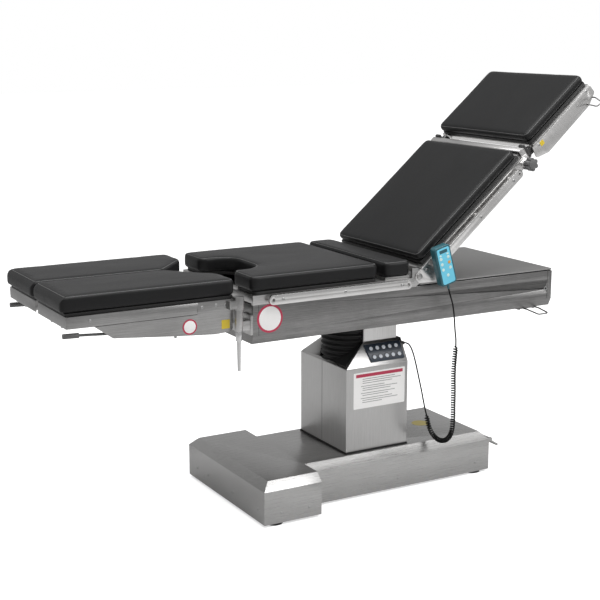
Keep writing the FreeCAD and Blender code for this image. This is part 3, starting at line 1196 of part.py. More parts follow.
def make_pull_handle():
    """The near wire handle under the chassis, on a block that slides in its guide."""
    x0, x1 = CHASSIS_HEAD_END + PULL_AT[0], CHASSIS_HEAD_END + PULL_AT[1]
    inner, outer = -CHASSIS_BOTTOM_HALF + PULL_INSIDE, -CHASSIS_HALF - PULL_OUT
    leg, grip = CHASSIS_BOTTOM - PULL_DROP[0], CHASSIS_BOTTOM - PULL_DROP[1]
    back = x1 - PULL_SKEW[1]
    points = ((x0, inner, leg), (x0, -CHASSIS_HALF, leg), (x0 + PULL_SKEW[0], outer, grip), (x1, outer, grip),
              (back, -CHASSIS_HALF, leg), (back, inner, leg))
    wire, _, _ = tube_along(points, WIRE_RADIUS, WIRE_BEND)
    depth, high = PULL_BLOCK
    top = CHASSIS_BOTTOM - PULL_BLOCK_GAP
    block = box(x0 - PULL_BLOCK_PAST, x1, inner - PAST, inner + depth, top - high, top)
    return fuse(wire, block)


def make_pull_guide():
    """Two hooks under the chassis that carry the sliding block of the wire handle."""
    x0, x1 = CHASSIS_HEAD_END + PULL_AT[0], CHASSIS_HEAD_END + PULL_AT[1]
    depth, high = PULL_BLOCK
    gap, sheet = PULL_GUIDE_GAP, PULL_GUIDE_SHEET
    start = -CHASSIS_BOTTOM_HALF + PULL_INSIDE + 2 * PAST
    end = start + depth + PULL_GUIDE_PAST
    low = CHASSIS_BOTTOM - PULL_BLOCK_GAP - high - gap
    pieces = []
    for edge, side in ((x0 - PULL_BLOCK_PAST, -1), (x1, 1)):
        inner, outer = edge + side * gap, edge + side * (gap + sheet)
        tuck = edge - side * PULL_GUIDE_TUCK
        pieces.append(box(min(inner, outer), max(inner, outer), start, end, low - sheet, CHASSIS_BOTTOM + PAST))
        pieces.append(box(min(outer, tuck), max(outer, tuck), start, end, low - sheet, low))
    return pieces


def make_head_loop():
    """The near wire loop that frees the head section, on a pin through its side plate."""
    s0, s1 = HEAD_END + LOOP_AT[0], HEAD_END + LOOP_AT[1]
    inner, outer = -HEAD_SIDE[0] + LOOP_INSIDE, -HEAD_SIDE[1] - LOOP_OUT
    bend = -HEAD_SIDE[1] - LOOP_SKEW
    points = ((s0, inner, LOOP_LEG_T), (s0, bend, LOOP_LEG_T), (s0 + LOOP_SKEW, outer, LOOP_T),
              (s1 - LOOP_SKEW, outer, LOOP_T), (s1, bend, LOOP_LEG_T), (s1, inner, LOOP_LEG_T))
    wire, _, _ = tube_along(points, WIRE_RADIUS, WIRE_BEND)
    return wire


def make_leg_bracket():
    inner, outer = LEG_EAR_Y
    plate_x = CHASSIS_LEG_END - LEG_PLATE
    plate = box(plate_x, CHASSIS_LEG_END, -outer[1] - LEG_PLATE_PAST, -inner[0] + LEG_PLATE_PAST,
                FOLD_Z - LEG_PLATE_HALF_Z, FOLD_Z + LEG_PLATE_HALF_Z)
    reach = LEG_EAR_ROUND
    ear = ((plate_x + PAST, FOLD_Z - reach), (FOLD_X - reach, FOLD_Z - reach, reach - HAIR),
           (FOLD_X - reach, FOLD_Z + reach, reach - HAIR), (plate_x + PAST, FOLD_Z + reach))
    ears = [prism("y", ear, -y1, -y0) for y0, y1 in LEG_EAR_Y]
    pin = rod_y(FOLD_X, -outer[1] - LEG_PIN_PAST, -inner[0] + LEG_PIN_PAST, FOLD_Z, LEG_PIN)
    return fuse(plate, pin, *ears)


def make_knuckle():
    y0 = -LEG_EAR_Y[1][0] + LEG_EAR_GAP
    y1 = -LEG_EAR_Y[0][1] - LEG_EAR_GAP
    reach = LEG_EAR_ROUND
    arm_end = KNUCKLE_ARM[1] - PAST
    lug = prism("y", ((arm_end, FOLD_Z - reach), (FOLD_X + reach, FOLD_Z - reach, reach - HAIR),
                      (FOLD_X + reach, FOLD_Z + reach, reach - HAIR), (arm_end, FOLD_Z + reach)), y0, y1)
    arm = box(KNUCKLE_ARM[0], KNUCKLE_ARM[1], -POST_Y, y1, FOLD_Z - reach + KNUCKLE_ARM_RISE, FOLD_Z + reach)
    barrel = rod_z(POST_X, -POST_Y, BARREL_BOTTOM, BARREL_TOP, BARREL_RADIUS)
    post = rod_z(POST_X, -POST_Y, BARREL_TOP - PAST, POST_TOP, POST_RADIUS)
    knuckle = fuse(lug, arm, barrel, post)
    knuckle = knuckle.cut(rod_y(FOLD_X, y0 - PAST, y1 + PAST, FOLD_Z, LEG_PIN + RUNNING_GAP))
    return knuckle.cut(rod_z(POST_X, -POST_Y, BARREL_BOTTOM - PAST, HANDLE_STUD_TOP + HANDLE_STUD_ROOM,
                             HANDLE_STUD + RUNNING_GAP))


def make_lock_handle():
    top = BARREL_BOTTOM - HANDLE_GAP
    taper = Part.makeCone(HANDLE_FOOT_RADIUS, HANDLE_WAIST_RADIUS, HANDLE_LENGTH, V(POST_X, -POST_Y, HANDLE_FOOT),
                          V(0, 0, 1))
    neck = rod_z(POST_X, -POST_Y, HANDLE_NECK, top, HANDLE_TOP_RADIUS)
    stud = rod_z(POST_X, -POST_Y, top - PAST, HANDLE_STUD_TOP, HANDLE_STUD)
    return fuse(taper, neck, stud)


def leg_top_outline(shrink):
    """The near leg section seen from above, with its slanted inner hip corner."""
    foot, hip = LEG_PAD_FOOT_X + shrink, LEG_PAD_HIP_X - shrink
    outer, inner = -LEG_PAD_OUTER + shrink, -LEG_PAD_INNER - shrink
    slant = shrink * 0.4
    return ((foot, outer), (hip, outer), (hip, -LEG_HIP_CORNER_Y - slant), (LEG_CROTCH_X - slant, inner),
            (foot, inner))


def make_leg_frame():
    foot, hip = LEG_FRAME_FOOT_X, LEG_FRAME_HIP_X
    top = SEAT_FRAME_TOP
    under = top - LEG_SHEET
    low_hip = LEG_PLATE_OUTLINE[-1]
    outer, inner = -LEG_SIDE[0] - LAP, -LEG_PAD_INNER - LEG_FRAME_INSET
    corners = [LEG_PLATE_OUTLINE[0]] + [(x, z, LEG_PLATE_ROUND) for x, z in LEG_PLATE_OUTLINE[1:-1]] + [low_hip]
    corners += [(hip, low_hip[1] + LEG_PLATE_ROUND), (hip, top), (foot, top)]
    side = prism("y", corners, -LEG_SIDE[1], -LEG_SIDE[0])
    strip_foot = top - LEG_STRIP_DEPTH
    strip_end = foot + LEG_STRIP_LENGTH
    strip = prism("y", ((foot, strip_foot, LEG_STRIP_ROUND), (strip_end, strip_foot, LEG_STRIP_ROUND), (strip_end, top),
                        (foot, top, LEG_STRIP_ROUND)), -LEG_SIDE[1] - LEG_STRIP_OUT, -LEG_SIDE[1] + LAP)
    hip_inner = -LEG_HIP_CORNER_Y - LEG_FRAME_INSET
    deck = prism("z", ((foot, outer), (hip, outer), (hip, hip_inner), (LEG_CROTCH_X - LEG_FRAME_INSET, inner),
                       (foot, inner)), under, top)
    end_plate = box(foot, foot + LEG_SHEET, outer, inner, LEG_PLATE_OUTLINE[0][1], under + LAP)
    lip = box(foot, LEG_CROTCH_X - LEG_LIP_SHORT, inner - LEG_SHEET, inner, under - LEG_LIP_DEPTH, under + LAP)
    hip_bar = box(hip - LEG_HIP_BAR, hip, outer, hip_inner, under - LEG_HIP_BAR_DEPTH, under + LAP)
    hub = rod_z(POST_X, -POST_Y, BARREL_TOP + HUB_GAP, HUB_TOP, HUB_RADIUS)
    arm = box(hip - HUB_ARM_PAST, POST_X, -POST_Y - HUB_RADIUS + HUB_ARM_IN, -LEG_SIDE[0],
              BARREL_TOP + HUB_ARM_RISE, under)
    pin = rod_y(LEVER_AXIS[0], outer, -LEVER_Y[0] + LEVER_PIN_REACH, LEVER_AXIS[1], LEVER_PIN)
    peg_y = -LEG_SIDE[0] + LEG_PEG_IN
    peg = rod_z(foot + LEG_PEG_AT, peg_y, top - LEG_PEG_DEPTH, under + LAP, LEG_PEG)
    plugs = [rod_z(foot + LEG_SHEET + LEG_PLUG, y, LEG_PLATE_OUTLINE[0][1] - LEG_PLUG_OUT, under + LAP, LEG_PLUG)
             for y in (-LEG_SIDE[0] + LEG_PLUGS_IN[0], -LEG_SIDE[0] + LEG_PLUGS_IN[1])]
    frame = fuse(side, strip, deck, end_plate, lip, hip_bar, hub, arm, pin, peg, *plugs)
    return frame.cut(rod_z(POST_X, -POST_Y, BARREL_TOP, POST_TOP + PAST, POST_RADIUS + RUNNING_GAP))


def leg_cushion():
    """The near leg cushion: its foot end is rounded off along the top and its edges are rounded after that."""
    points = leg_top_outline(0.0)
    rounding = (0.0, PAD_CORNER, PAD_CORNER, PAD_CORNER, 0.0)
    low = SEAT_FRAME_TOP + KIDNEY_SHEET
    flat = prism("z", [(x, y, r) for (x, y), r in zip(points, rounding)], low, PAD_TOP)
    profile = ((LEG_PAD_FOOT_X, low), (LEG_PAD_HIP_X, low), (LEG_PAD_HIP_X, PAD_TOP),
               (LEG_PAD_FOOT_X, PAD_TOP, LEG_PAD_FOOT_ROUND))
    cushion = flat.common(prism("y", profile, -LEG_PAD_OUTER, -LEG_PAD_INNER))
    across = [e.hashCode() for e in edges_along(cushion, "y")]
    start = LEG_PAD_FOOT_X + LEG_PAD_FOOT_ROUND
    edges = []
    for edge in cushion.Edges:
        bounds = edge.BoundBox
        on_top = bounds.ZMin > PAD_TOP - HAIR and not (edge.hashCode() in across and bounds.XMax < start + PAST)
        at_foot = bounds.XMax < start + PAST and bounds.YLength < HAIR and bounds.ZLength > PAST
        if on_top or at_foot:
            edges.append(edge)
    return cushion.makeFillet(PAD_EDGE, edges)


def make_leg_pad():
    low = SEAT_FRAME_TOP
    board = prism("z", leg_top_outline(LEG_FRAME_INSET), low, low + KIDNEY_SHEET)
    return Part.makeCompound([board, leg_cushion()])


def make_lever():
    """The near release lever under the foot end of a leg section."""
    y0, y1 = LEVER_Y
    middle = -(y0 + y1) / 2
    x, z = LEVER_AXIS
    rod_x_end, rod_z_end = x + LEVER_ROD_RUN[0], z + LEVER_ROD_RUN[1]
    hub = rod_y(x, -y1, -y0, z, LEVER_HUB)
    rod = rod_between((x - LEVER_PIN - RUNNING_GAP, middle, z), (rod_x_end, middle, rod_z_end), LEVER_ROD)
    grip = rod_between((rod_x_end, middle, rod_z_end),
                       (rod_x_end + LEVER_GRIP_RUN[0], middle, rod_z_end + LEVER_GRIP_RUN[1]), LEVER_GRIP)
    lever = fuse(hub, rod, grip)
    return lever.cut(rod_y(x, -y1 - PAST, -y0 + PAST, z, LEVER_PIN + RUNNING_GAP))


def lean(shape):
    """Places a piece of the handset, modelled upright about its own middle, where it hangs."""
    shape = shape.copy()
    shape.rotate(V(0, 0, 0), V(0, 1, 0), -HANDSET_LEAN)
    shape.translate(V(HINGE_X + HANDSET_FROM_HINGE[0], 0, HINGE_Z + HANDSET_FROM_HINGE[1]))
    return shape


def handset_corners(margin, radius):
    half, tall = HANDSET_WIDTH / 2 - margin, HANDSET_LENGTH / 2 - margin
    return ((-half, -tall, radius), (half, -tall, radius), (half, tall, radius), (-half, tall, radius))


def make_handset():
    middle = -(HANDSET_FACE + HANDSET_BACK) / 2
    case = prism("y", handset_corners(0, HANDSET_ROUND), -HANDSET_FACE, -HANDSET_BACK)
    case = case.makeFillet(HANDSET_RIM_ROUND, [e for e in case.Edges if e.BoundBox.YMax < -HANDSET_FACE + HAIR])
    foot = -HANDSET_LENGTH / 2
    relief = Part.makeCone(RELIEF_RADIUS, RELIEF_TIP_RADIUS, RELIEF_LENGTH, V(0, middle, foot), V(0, 0, -1))
    top = BACK_RAIL_MIDDLE + RAIL_HEIGHT / 2 + HOOK_GAP
    inner = -RAIL_OUTER + RAIL_THICK + HOOK_GAP
    over = box(HOOK_AT, HOOK_AT + HOOK_WIDTH, -HANDSET_BACK - HOOK_LAP, inner + HOOK_SHEET, top, top + HOOK_SHEET)
    tongue = box(HOOK_AT, HOOK_AT + HOOK_WIDTH, inner, inner + HOOK_SHEET, top - HOOK_DROP, top + HOOK_SHEET)
    hook = raise_back(fuse(over, tongue))
    return fuse(lean(fuse(case, relief)), hook)


def make_handset_face():
    skin = HANDSET_FACE_SHEET
    plate = prism("y", handset_corners(HANDSET_FACE_MARGIN, HANDSET_FACE_ROUND), -HANDSET_FACE - skin, -HANDSET_FACE)
    keys = [rod_y(x, -HANDSET_FACE - skin - HANDSET_KEY_HEIGHT, -HANDSET_FACE - skin, z, HANDSET_KEY_RADIUS)
            for x, z in HANDSET_KEYS]
    return lean(fuse(plate, *keys))


def handset_exit(further):
    """Where the lead leaves the strain relief under the handset, or that much further along it."""
    reach = HANDSET_LENGTH / 2 + RELIEF_LENGTH + further
    turn = math.radians(HANDSET_LEAN)
    return (HINGE_X + HANDSET_FROM_HINGE[0] + reach * math.sin(turn), -(HANDSET_FACE + HANDSET_BACK) / 2,
            HINGE_Z + HANDSET_FROM_HINGE[1] - reach * math.cos(turn))


def gland_hole():
    return rod_x(COVER_HALF_X - 2 * COVER_SHEET, COVER_HALF_X + PAST, GLAND_Y, GLAND_Z,
                 GLAND_SHANK_RADIUS + GLAND_HOLE_GAP)


def make_gland():
    half = GLAND_LENGTH / 2
    head = rod_x(COVER_HALF_X, COVER_HALF_X + half, GLAND_Y, GLAND_Z, GLAND_RADIUS)
    neck = Part.makeCone(GLAND_NECK_RADIUS, GLAND_TIP_RADIUS, half, V(COVER_HALF_X + half, GLAND_Y, GLAND_Z),
                         V(1, 0, 0))
    shank = rod_x(COVER_HALF_X - COVER_SHEET, COVER_HALF_X, GLAND_Y, GLAND_Z, GLAND_SHANK_RADIUS)
    return fuse(head, neck, shank)


def curly_turn():
    """The points of the curly part's turn at the bottom, from the near side round to the column side."""
    steps = round(180 / CURLY_TURN_STEP)
    points = []
    for i in range(steps):
        turn = math.radians(180 + CURLY_TURN_STEP * (i + 0.5))
        points.append((CURLY_STRAIGHT[-1][0] + CURLY_TURN_DRIFT * (i + 1),
                       CURLY_TURN_Y + CURLY_TURN_RADIUS * math.cos(turn),
                       CURLY_TURN_Z + CURLY_TURN_RADIUS * math.sin(turn)))
    return points


def lead_routes():
    curly = [CURLY_TOP] + list(CURLY_STRAIGHT) + curly_turn() + [LEAD_TO_COLUMN[0]]
    first = [handset_exit(0.0), handset_exit(LEAD_STRAIGHT)] + list(LEAD_FROM_HANDSET) + [CURLY_TOP]
    gland = (COVER_HALF_X + GLAND_LENGTH, GLAND_Y, GLAND_Z)
    second = list(LEAD_TO_COLUMN) + [gland]
    return {"cord_handset_lead": (first, LEAD_DIAMETER), "cord_curly": (curly, CURLY_DIAMETER),
            "cord_column_lead": (second, LEAD_DIAMETER)}


def make_all():
    parts = {"base_frame": make_base_frame(), "base_cover": make_base_cover(), "base_pedal": make_pedal()}
    parts["feet"] = Part.makeCompound([make_foot(x, y) for x, y in foot_places()])
    battery, unit = unit_places()
    parts["battery_pack"] = make_unit(battery)
    parts["control_unit"] = make_unit(unit)
    parts["column_gasket"] = make_gasket()
    parts["column_cover"] = make_column_cover()
    parts["cutout_sheet"] = make_cutout_sheet()
    parts["control_panel"] = make_panel()
    parts["panel_keys"] = make_panel_keys()
    parts["inner_column"] = make_inner_column()
    parts["lift_actuator"] = make_lift_actuator()
    parts["cord_gland"] = make_gland()
    parts["column_sleeve"] = make_sleeve()
    parts["lift_rod"] = make_lift_rod()
    parts["bellows"] = make_bellows()
    parts["tilt_yoke"] = make_yoke()
    parts["tilt_cradle"] = make_cradle()
    parts["pivot_hangers"] = make_hangers()
    parts["chassis_box"] = fuse(make_chassis(), *make_pull_guide())
    parts["chassis_lid"] = make_lid()
    parts["lid_seal"] = make_seal()
    parts["pull_handle"] = make_pull_handle()
    parts["seat_frame"] = make_seat_frame()
    parts["seat_board"] = make_seat_board()
    parts["seat_pad"] = make_seat_pad()
    parts["kidney_frame"] = make_kidney_frame()
    parts["kidney_pad"] = make_kidney_pad()
    parts["back_frame"] = raise_back(make_back_frame())
    parts["back_board"] = raise_back(make_back_board())
    parts["back_pad"] = raise_back(make_back_pad())
    parts["head_mount"] = raise_back(make_head_mount())
    parts["head_frame"] = raise_back(make_head_frame())
    parts["head_pad"] = raise_back(make_head_pad())
    parts["head_loop"] = raise_back(make_head_loop())
    seat_middle = CHASSIS_TOP + RAIL_HEIGHT / 2
    pairs = {"seat_rail": make_rail(SEAT_RAIL_ENDS, seat_middle, SEAT_RAIL_SPACERS, CHASSIS_HALF),
             "back_rail": raise_back(make_rail(BACK_RAIL_ENDS, BACK_RAIL_MIDDLE, BACK_RAIL_SPACERS, BACK_SIDE[1])),
             "clamp": raise_back(make_clamp()), "leg_bracket": make_leg_bracket(), "leg_knuckle": make_knuckle(),
             "leg_lock": make_lock_handle(), "leg_frame": make_leg_frame(), "leg_pad": make_leg_pad(),
             "leg_lever": make_lever()}
    for name, near in pairs.items():
        parts[name + "_near"] = near
        parts[name + "_far"] = mirrored(near)
    parts["handset_case"] = make_handset()
    parts["handset_face"] = make_handset_face()
    return parts


def make_leads():
    leads = {}
    for name, (points, diameter) in lead_routes().items():
        tube, length, radii = tube_along(points, diameter / 2)
        ideal = math.pi * diameter ** 2 / 4 * length
        print(name, "length", round(length, 1), "volume share", round(tube.Volume / ideal, 4), "radii",
              [round(r / diameter, 1) for r in radii], "diameters")
        leads[name] = tube
    return leads


def object_shift(parts):
    """Moves the middle of the table's box, its leads left out, over X = Y = 0."""
    whole = FreeCAD.BoundBox()
    for shape in parts.values():
        whole.add(shape.optimalBoundingBox(False, False))
    print("box", whole)
    return V(-(whole.XMin + whole.XMax) / 2, -(whole.YMin + whole.YMax) / 2, -whole.ZMin)


def main():
    os.makedirs("parts", exist_ok=True)
    parts = make_all()
    shift = object_shift({name: shape for name, shape in parts.items() if name != "cord_gland"})
    parts.update(make_leads())
    for name, shape in parts.items():
        if not shape.isValid():
            print("not valid:", name)
        placed = shape.copy()
        placed.translate(shift)
        placed.exportStep("parts/" + name + ".step")
    print(len(parts), "nodes, shift", shift)


main()
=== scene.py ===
import json
import math

import bmesh
import bpy
import numpy as np
from mathutils import Euler, Matrix, Vector


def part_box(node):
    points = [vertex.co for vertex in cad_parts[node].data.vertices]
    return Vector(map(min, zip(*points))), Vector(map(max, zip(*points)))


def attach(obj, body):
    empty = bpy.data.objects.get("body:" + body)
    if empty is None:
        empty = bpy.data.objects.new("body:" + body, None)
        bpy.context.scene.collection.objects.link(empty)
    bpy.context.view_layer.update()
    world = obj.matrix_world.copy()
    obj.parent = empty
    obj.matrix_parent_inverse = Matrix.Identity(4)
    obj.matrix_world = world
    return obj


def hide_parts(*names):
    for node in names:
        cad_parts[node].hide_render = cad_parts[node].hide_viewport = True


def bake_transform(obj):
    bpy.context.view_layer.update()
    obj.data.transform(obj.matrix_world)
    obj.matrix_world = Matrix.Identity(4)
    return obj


# An operating table, dressed over its CAD frame. Lengths of the drawing are in millimetres, with X = Y = 0 at
# the middle of the column cover; the scene is in metres. +X points to the head end, -Y is the side with the
# handset and +Z is up. Near means -Y and far means +Y.
mm = 0.001
SIDES = (("near", -1), ("far", 1))

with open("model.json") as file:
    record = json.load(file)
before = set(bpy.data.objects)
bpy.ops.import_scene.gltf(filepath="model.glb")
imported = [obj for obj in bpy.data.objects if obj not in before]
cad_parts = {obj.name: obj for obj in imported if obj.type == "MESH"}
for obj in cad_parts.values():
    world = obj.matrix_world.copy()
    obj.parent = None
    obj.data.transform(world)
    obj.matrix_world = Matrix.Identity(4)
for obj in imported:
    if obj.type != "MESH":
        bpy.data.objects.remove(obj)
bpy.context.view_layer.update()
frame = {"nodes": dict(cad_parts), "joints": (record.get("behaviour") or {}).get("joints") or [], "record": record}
NODES = frame["nodes"]
JOINTS = {joint["name"]: joint for joint in frame["joints"]}

COVER_LOW, COVER_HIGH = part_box("column_cover")
COLUMN_X = (COVER_LOW.x + COVER_HIGH.x) / 2
BACK_HINGE = Vector(JOINTS["back_fold"]["pos_m"])
BACK_ANGLE = math.radians(-JOINTS["back_fold"]["range_deg"][0])
DRAWING = Matrix.Translation((COLUMN_X, 0, 0))
BACK = Matrix.Translation((BACK_HINGE.x, 0, BACK_HINGE.z)) @ Matrix.Rotation(-BACK_ANGLE, 4, "Y")

# The photograph's camera, found by fitting straight edges of the table
CAMERA_PLACE = (-2248.2, -3589.7, 1517.7)
CAMERA_YAW = math.radians(29.614)
CAMERA_PITCH = math.radians(-12.003)
PHOTO_PIXELS = 600
CAMERA_FOCAL_PIXELS = 1293.93
SENSOR_WIDTH = 36.0


def place_in(matrix, x, y, z):
    """A point of a turned drawing, in millimetres, in the frame's metres."""
    return matrix @ Vector((x * mm, y * mm, z * mm))


def at(x, y, z):
    return place_in(DRAWING, x, y, z)


def box_in(node, matrix):
    """The box of a CAD node in a turned frame, in millimetres: (lowest corner, highest corner)."""
    inverse = matrix.inverted()
    points = np.array([inverse @ v.co for v in NODES[node].data.vertices])
    return points.min(0) / mm, points.max(0) / mm


class Tree:
    """A material's node tree with short calls for what the recipes below need."""

    def __init__(self, name):
        self.material = bpy.data.materials.new(name)
        self.material.use_nodes = True
        self.nodes = self.material.node_tree.nodes
        self.links = self.material.node_tree.links
        self.shader = self.nodes["Principled BSDF"]

    def new(self, kind, **values):
        node = self.nodes.new(kind)
        for key, value in values.items():
            setattr(node, key, value)
        return node

    def coordinates(self, scale=(1.0, 1.0, 1.0), turn_y=0.0):
        """Object coordinates, turned about Y where the piece leans, and stretched."""
        place = self.new("ShaderNodeTexCoord").outputs["Object"]
        for kind, turn, size in (("TEXTURE", turn_y, (1.0, 1.0, 1.0)), ("POINT", 0.0, scale)):
            mapping = self.new("ShaderNodeMapping", vector_type=kind)
            mapping.inputs["Rotation"].default_value = (0.0, turn, 0.0)
            mapping.inputs["Scale"].default_value = size
            self.links.new(place, mapping.inputs["Vector"])
            place = mapping.outputs["Vector"]
        return place

    def noise(self, vector, scale, detail=4.0, roughness=0.55):
        node = self.new("ShaderNodeTexNoise")
        node.inputs["Scale"].default_value = scale
        node.inputs["Detail"].default_value = detail
        node.inputs["Roughness"].default_value = roughness
        self.links.new(vector, node.inputs["Vector"])
        return node.outputs["Fac"]

    def ramp(self, factor, stops):
        node = self.new("ShaderNodeValToRGB")
        elements = node.color_ramp.elements
        for i, (place, value) in enumerate(stops):
            element = elements[i] if i < 2 else elements.new(place)
            element.position = place
            element.color = (*value, 1.0)
        self.links.new(factor, node.inputs["Fac"])
        return node.outputs["Color"]

    def mix(self, factor, a, b, mode="MIX"):
        node = self.new("ShaderNodeMix", data_type="RGBA", blend_type=mode)
        node.inputs["Factor"].default_value = factor
        self.links.new(a, node.inputs[6])
        self.links.new(b, node.inputs[7])
        return node.outputs[2]

    def map_range(self, factor, low, high, start=0.0, end=1.0):
        node = self.new("ShaderNodeMapRange")
        for name, value in (("From Min", start), ("From Max", end), ("To Min", low), ("To Max", high)):
            node.inputs[name].default_value = value
        self.links.new(factor, node.inputs["Value"])
        return node.outputs["Result"]

    def bump(self, height, strength, distance):
        node = self.new("ShaderNodeBump")
        node.inputs["Strength"].default_value = strength
        node.inputs["Distance"].default_value = distance
        self.links.new(height, node.inputs["Height"])
        self.links.new(node.outputs["Normal"], self.shader.inputs["Normal"])

    def feed(self, name, output):
        self.links.new(output, self.shader.inputs[name])

    def put(self, **values):
        """Sets inputs of the shader, their names in lower case with underscores."""
        for key, value in values.items():
            name = key.replace("_", " ").title().replace("Ior", "IOR")
            self.shader.inputs[name].default_value = value


def grey(value, warm=0.0):
    """A linear grey from the grey that the eye sees, from 0 to 255, a little warm where that shows."""
    level = (value / 255) ** 2.2
    return level * (1 + warm), level, level * (1 - warm)


# How the brushing stretches the noise: streaks that lie along X or along Z
ALONG_X = (0.5, 55.0, 55.0)
ALONG_Z = (55.0, 55.0, 0.5)


def brushed_steel(name, dark, light, rough, along=ALONG_X, turn_y=0.0, cloud=0.14, warm=0.01):
    """Stainless steel brushed along one direction: fine streaks, broad clouds of wear and small specks."""
    tree = Tree(name)
    streaks = tree.noise(tree.coordinates(along, turn_y), 16.0, 6.0, 0.7)
    fine = tree.noise(tree.coordinates(tuple(3 * a for a in along), turn_y), 24.0, 3.0, 0.6)
    both = tree.mix(0.35, streaks, fine)
    colour = tree.ramp(both, ((0.32, grey(dark, warm)), (0.68, grey(light, warm))))
    clouds = tree.noise(tree.coordinates(), 4.0, 5.0, 0.62)
    shade = tree.ramp(clouds, ((0.3, (1 - cloud,) * 3), (0.7, (1.0,) * 3)))
    tree.feed("Base Color", tree.mix(1.0, colour, shade, "MULTIPLY"))
    tree.feed("Roughness", tree.map_range(both, rough - 0.07, rough + 0.09))
    tree.put(metallic=1.0)
    tree.bump(both, 0.10, 0.0004)
    return tree.material


def painted(name, colour, rough, grain=0.0, spread=0.06, metallic=0.0, specular=0.5):
    """Paint, plastic or rubber with a faint mottle and a fine grain."""
    tree = Tree(name)
    mottle = tree.noise(tree.coordinates(), 9.0, 5.0, 0.6)
    darker = tuple(c * (1 - spread) for c in colour)
    lighter = tuple(min(c * (1 + spread), 1.0) for c in colour)
    tree.feed("Base Color", tree.ramp(mottle, ((0.3, darker), (0.7, lighter))))
    tree.feed("Roughness", tree.map_range(mottle, rough - 0.05, rough + 0.05))
    tree.put(metallic=metallic, specular_ior_level=specular)
    tree.bump(tree.noise(tree.coordinates(), 900.0, 2.0, 0.5), grain, 0.0002)
    return tree.material


def pad_skin(name):
    """The black skin of the moulded pads: soft sheen, fine leather grain and faint broad creases."""
    tree = Tree(name)
    broad = tree.noise(tree.coordinates((1.0, 2.4, 1.0)), 5.0, 4.0, 0.55)
    cells = tree.new("ShaderNodeTexVoronoi", feature="DISTANCE_TO_EDGE")
    cells.inputs["Scale"].default_value = 560.0
    tree.links.new(tree.coordinates(), cells.inputs["Vector"])
    dark, light = (0.0052, 0.0052, 0.0055), (0.0090, 0.0090, 0.0094)
    tree.feed("Base Color", tree.ramp(broad, ((0.25, dark), (0.75, light))))
    tree.feed("Roughness", tree.map_range(broad, 0.36, 0.50))
    tree.put(specular_ior_level=0.24, sheen_weight=0.015, sheen_roughness=0.4)
    grain = tree.map_range(cells.outputs["Distance"], 0.0, 1.0, 0.0, 0.35)
    creases = tree.noise(tree.coordinates((1.0, 1.6, 1.0)), 26.0, 5.0, 0.6)
    tree.bump(tree.mix(0.5, grain, creases), 0.20, 0.0007)
    return tree.material


def chrome(name, level=205, rough=0.14):
    """Polished metal with faint smears."""
    tree = Tree(name)
    smear = tree.noise(tree.coordinates(), 30.0, 3.0, 0.5)
    tree.feed("Base Color", tree.ramp(smear, ((0.2, grey(level * 0.95)), (0.8, grey(level)))))
    tree.feed("Roughness", tree.map_range(smear, rough - 0.04, rough + 0.08))
    tree.put(metallic=1.0)
    tree.bump(smear, 0.03, 0.0003)
    return tree.material


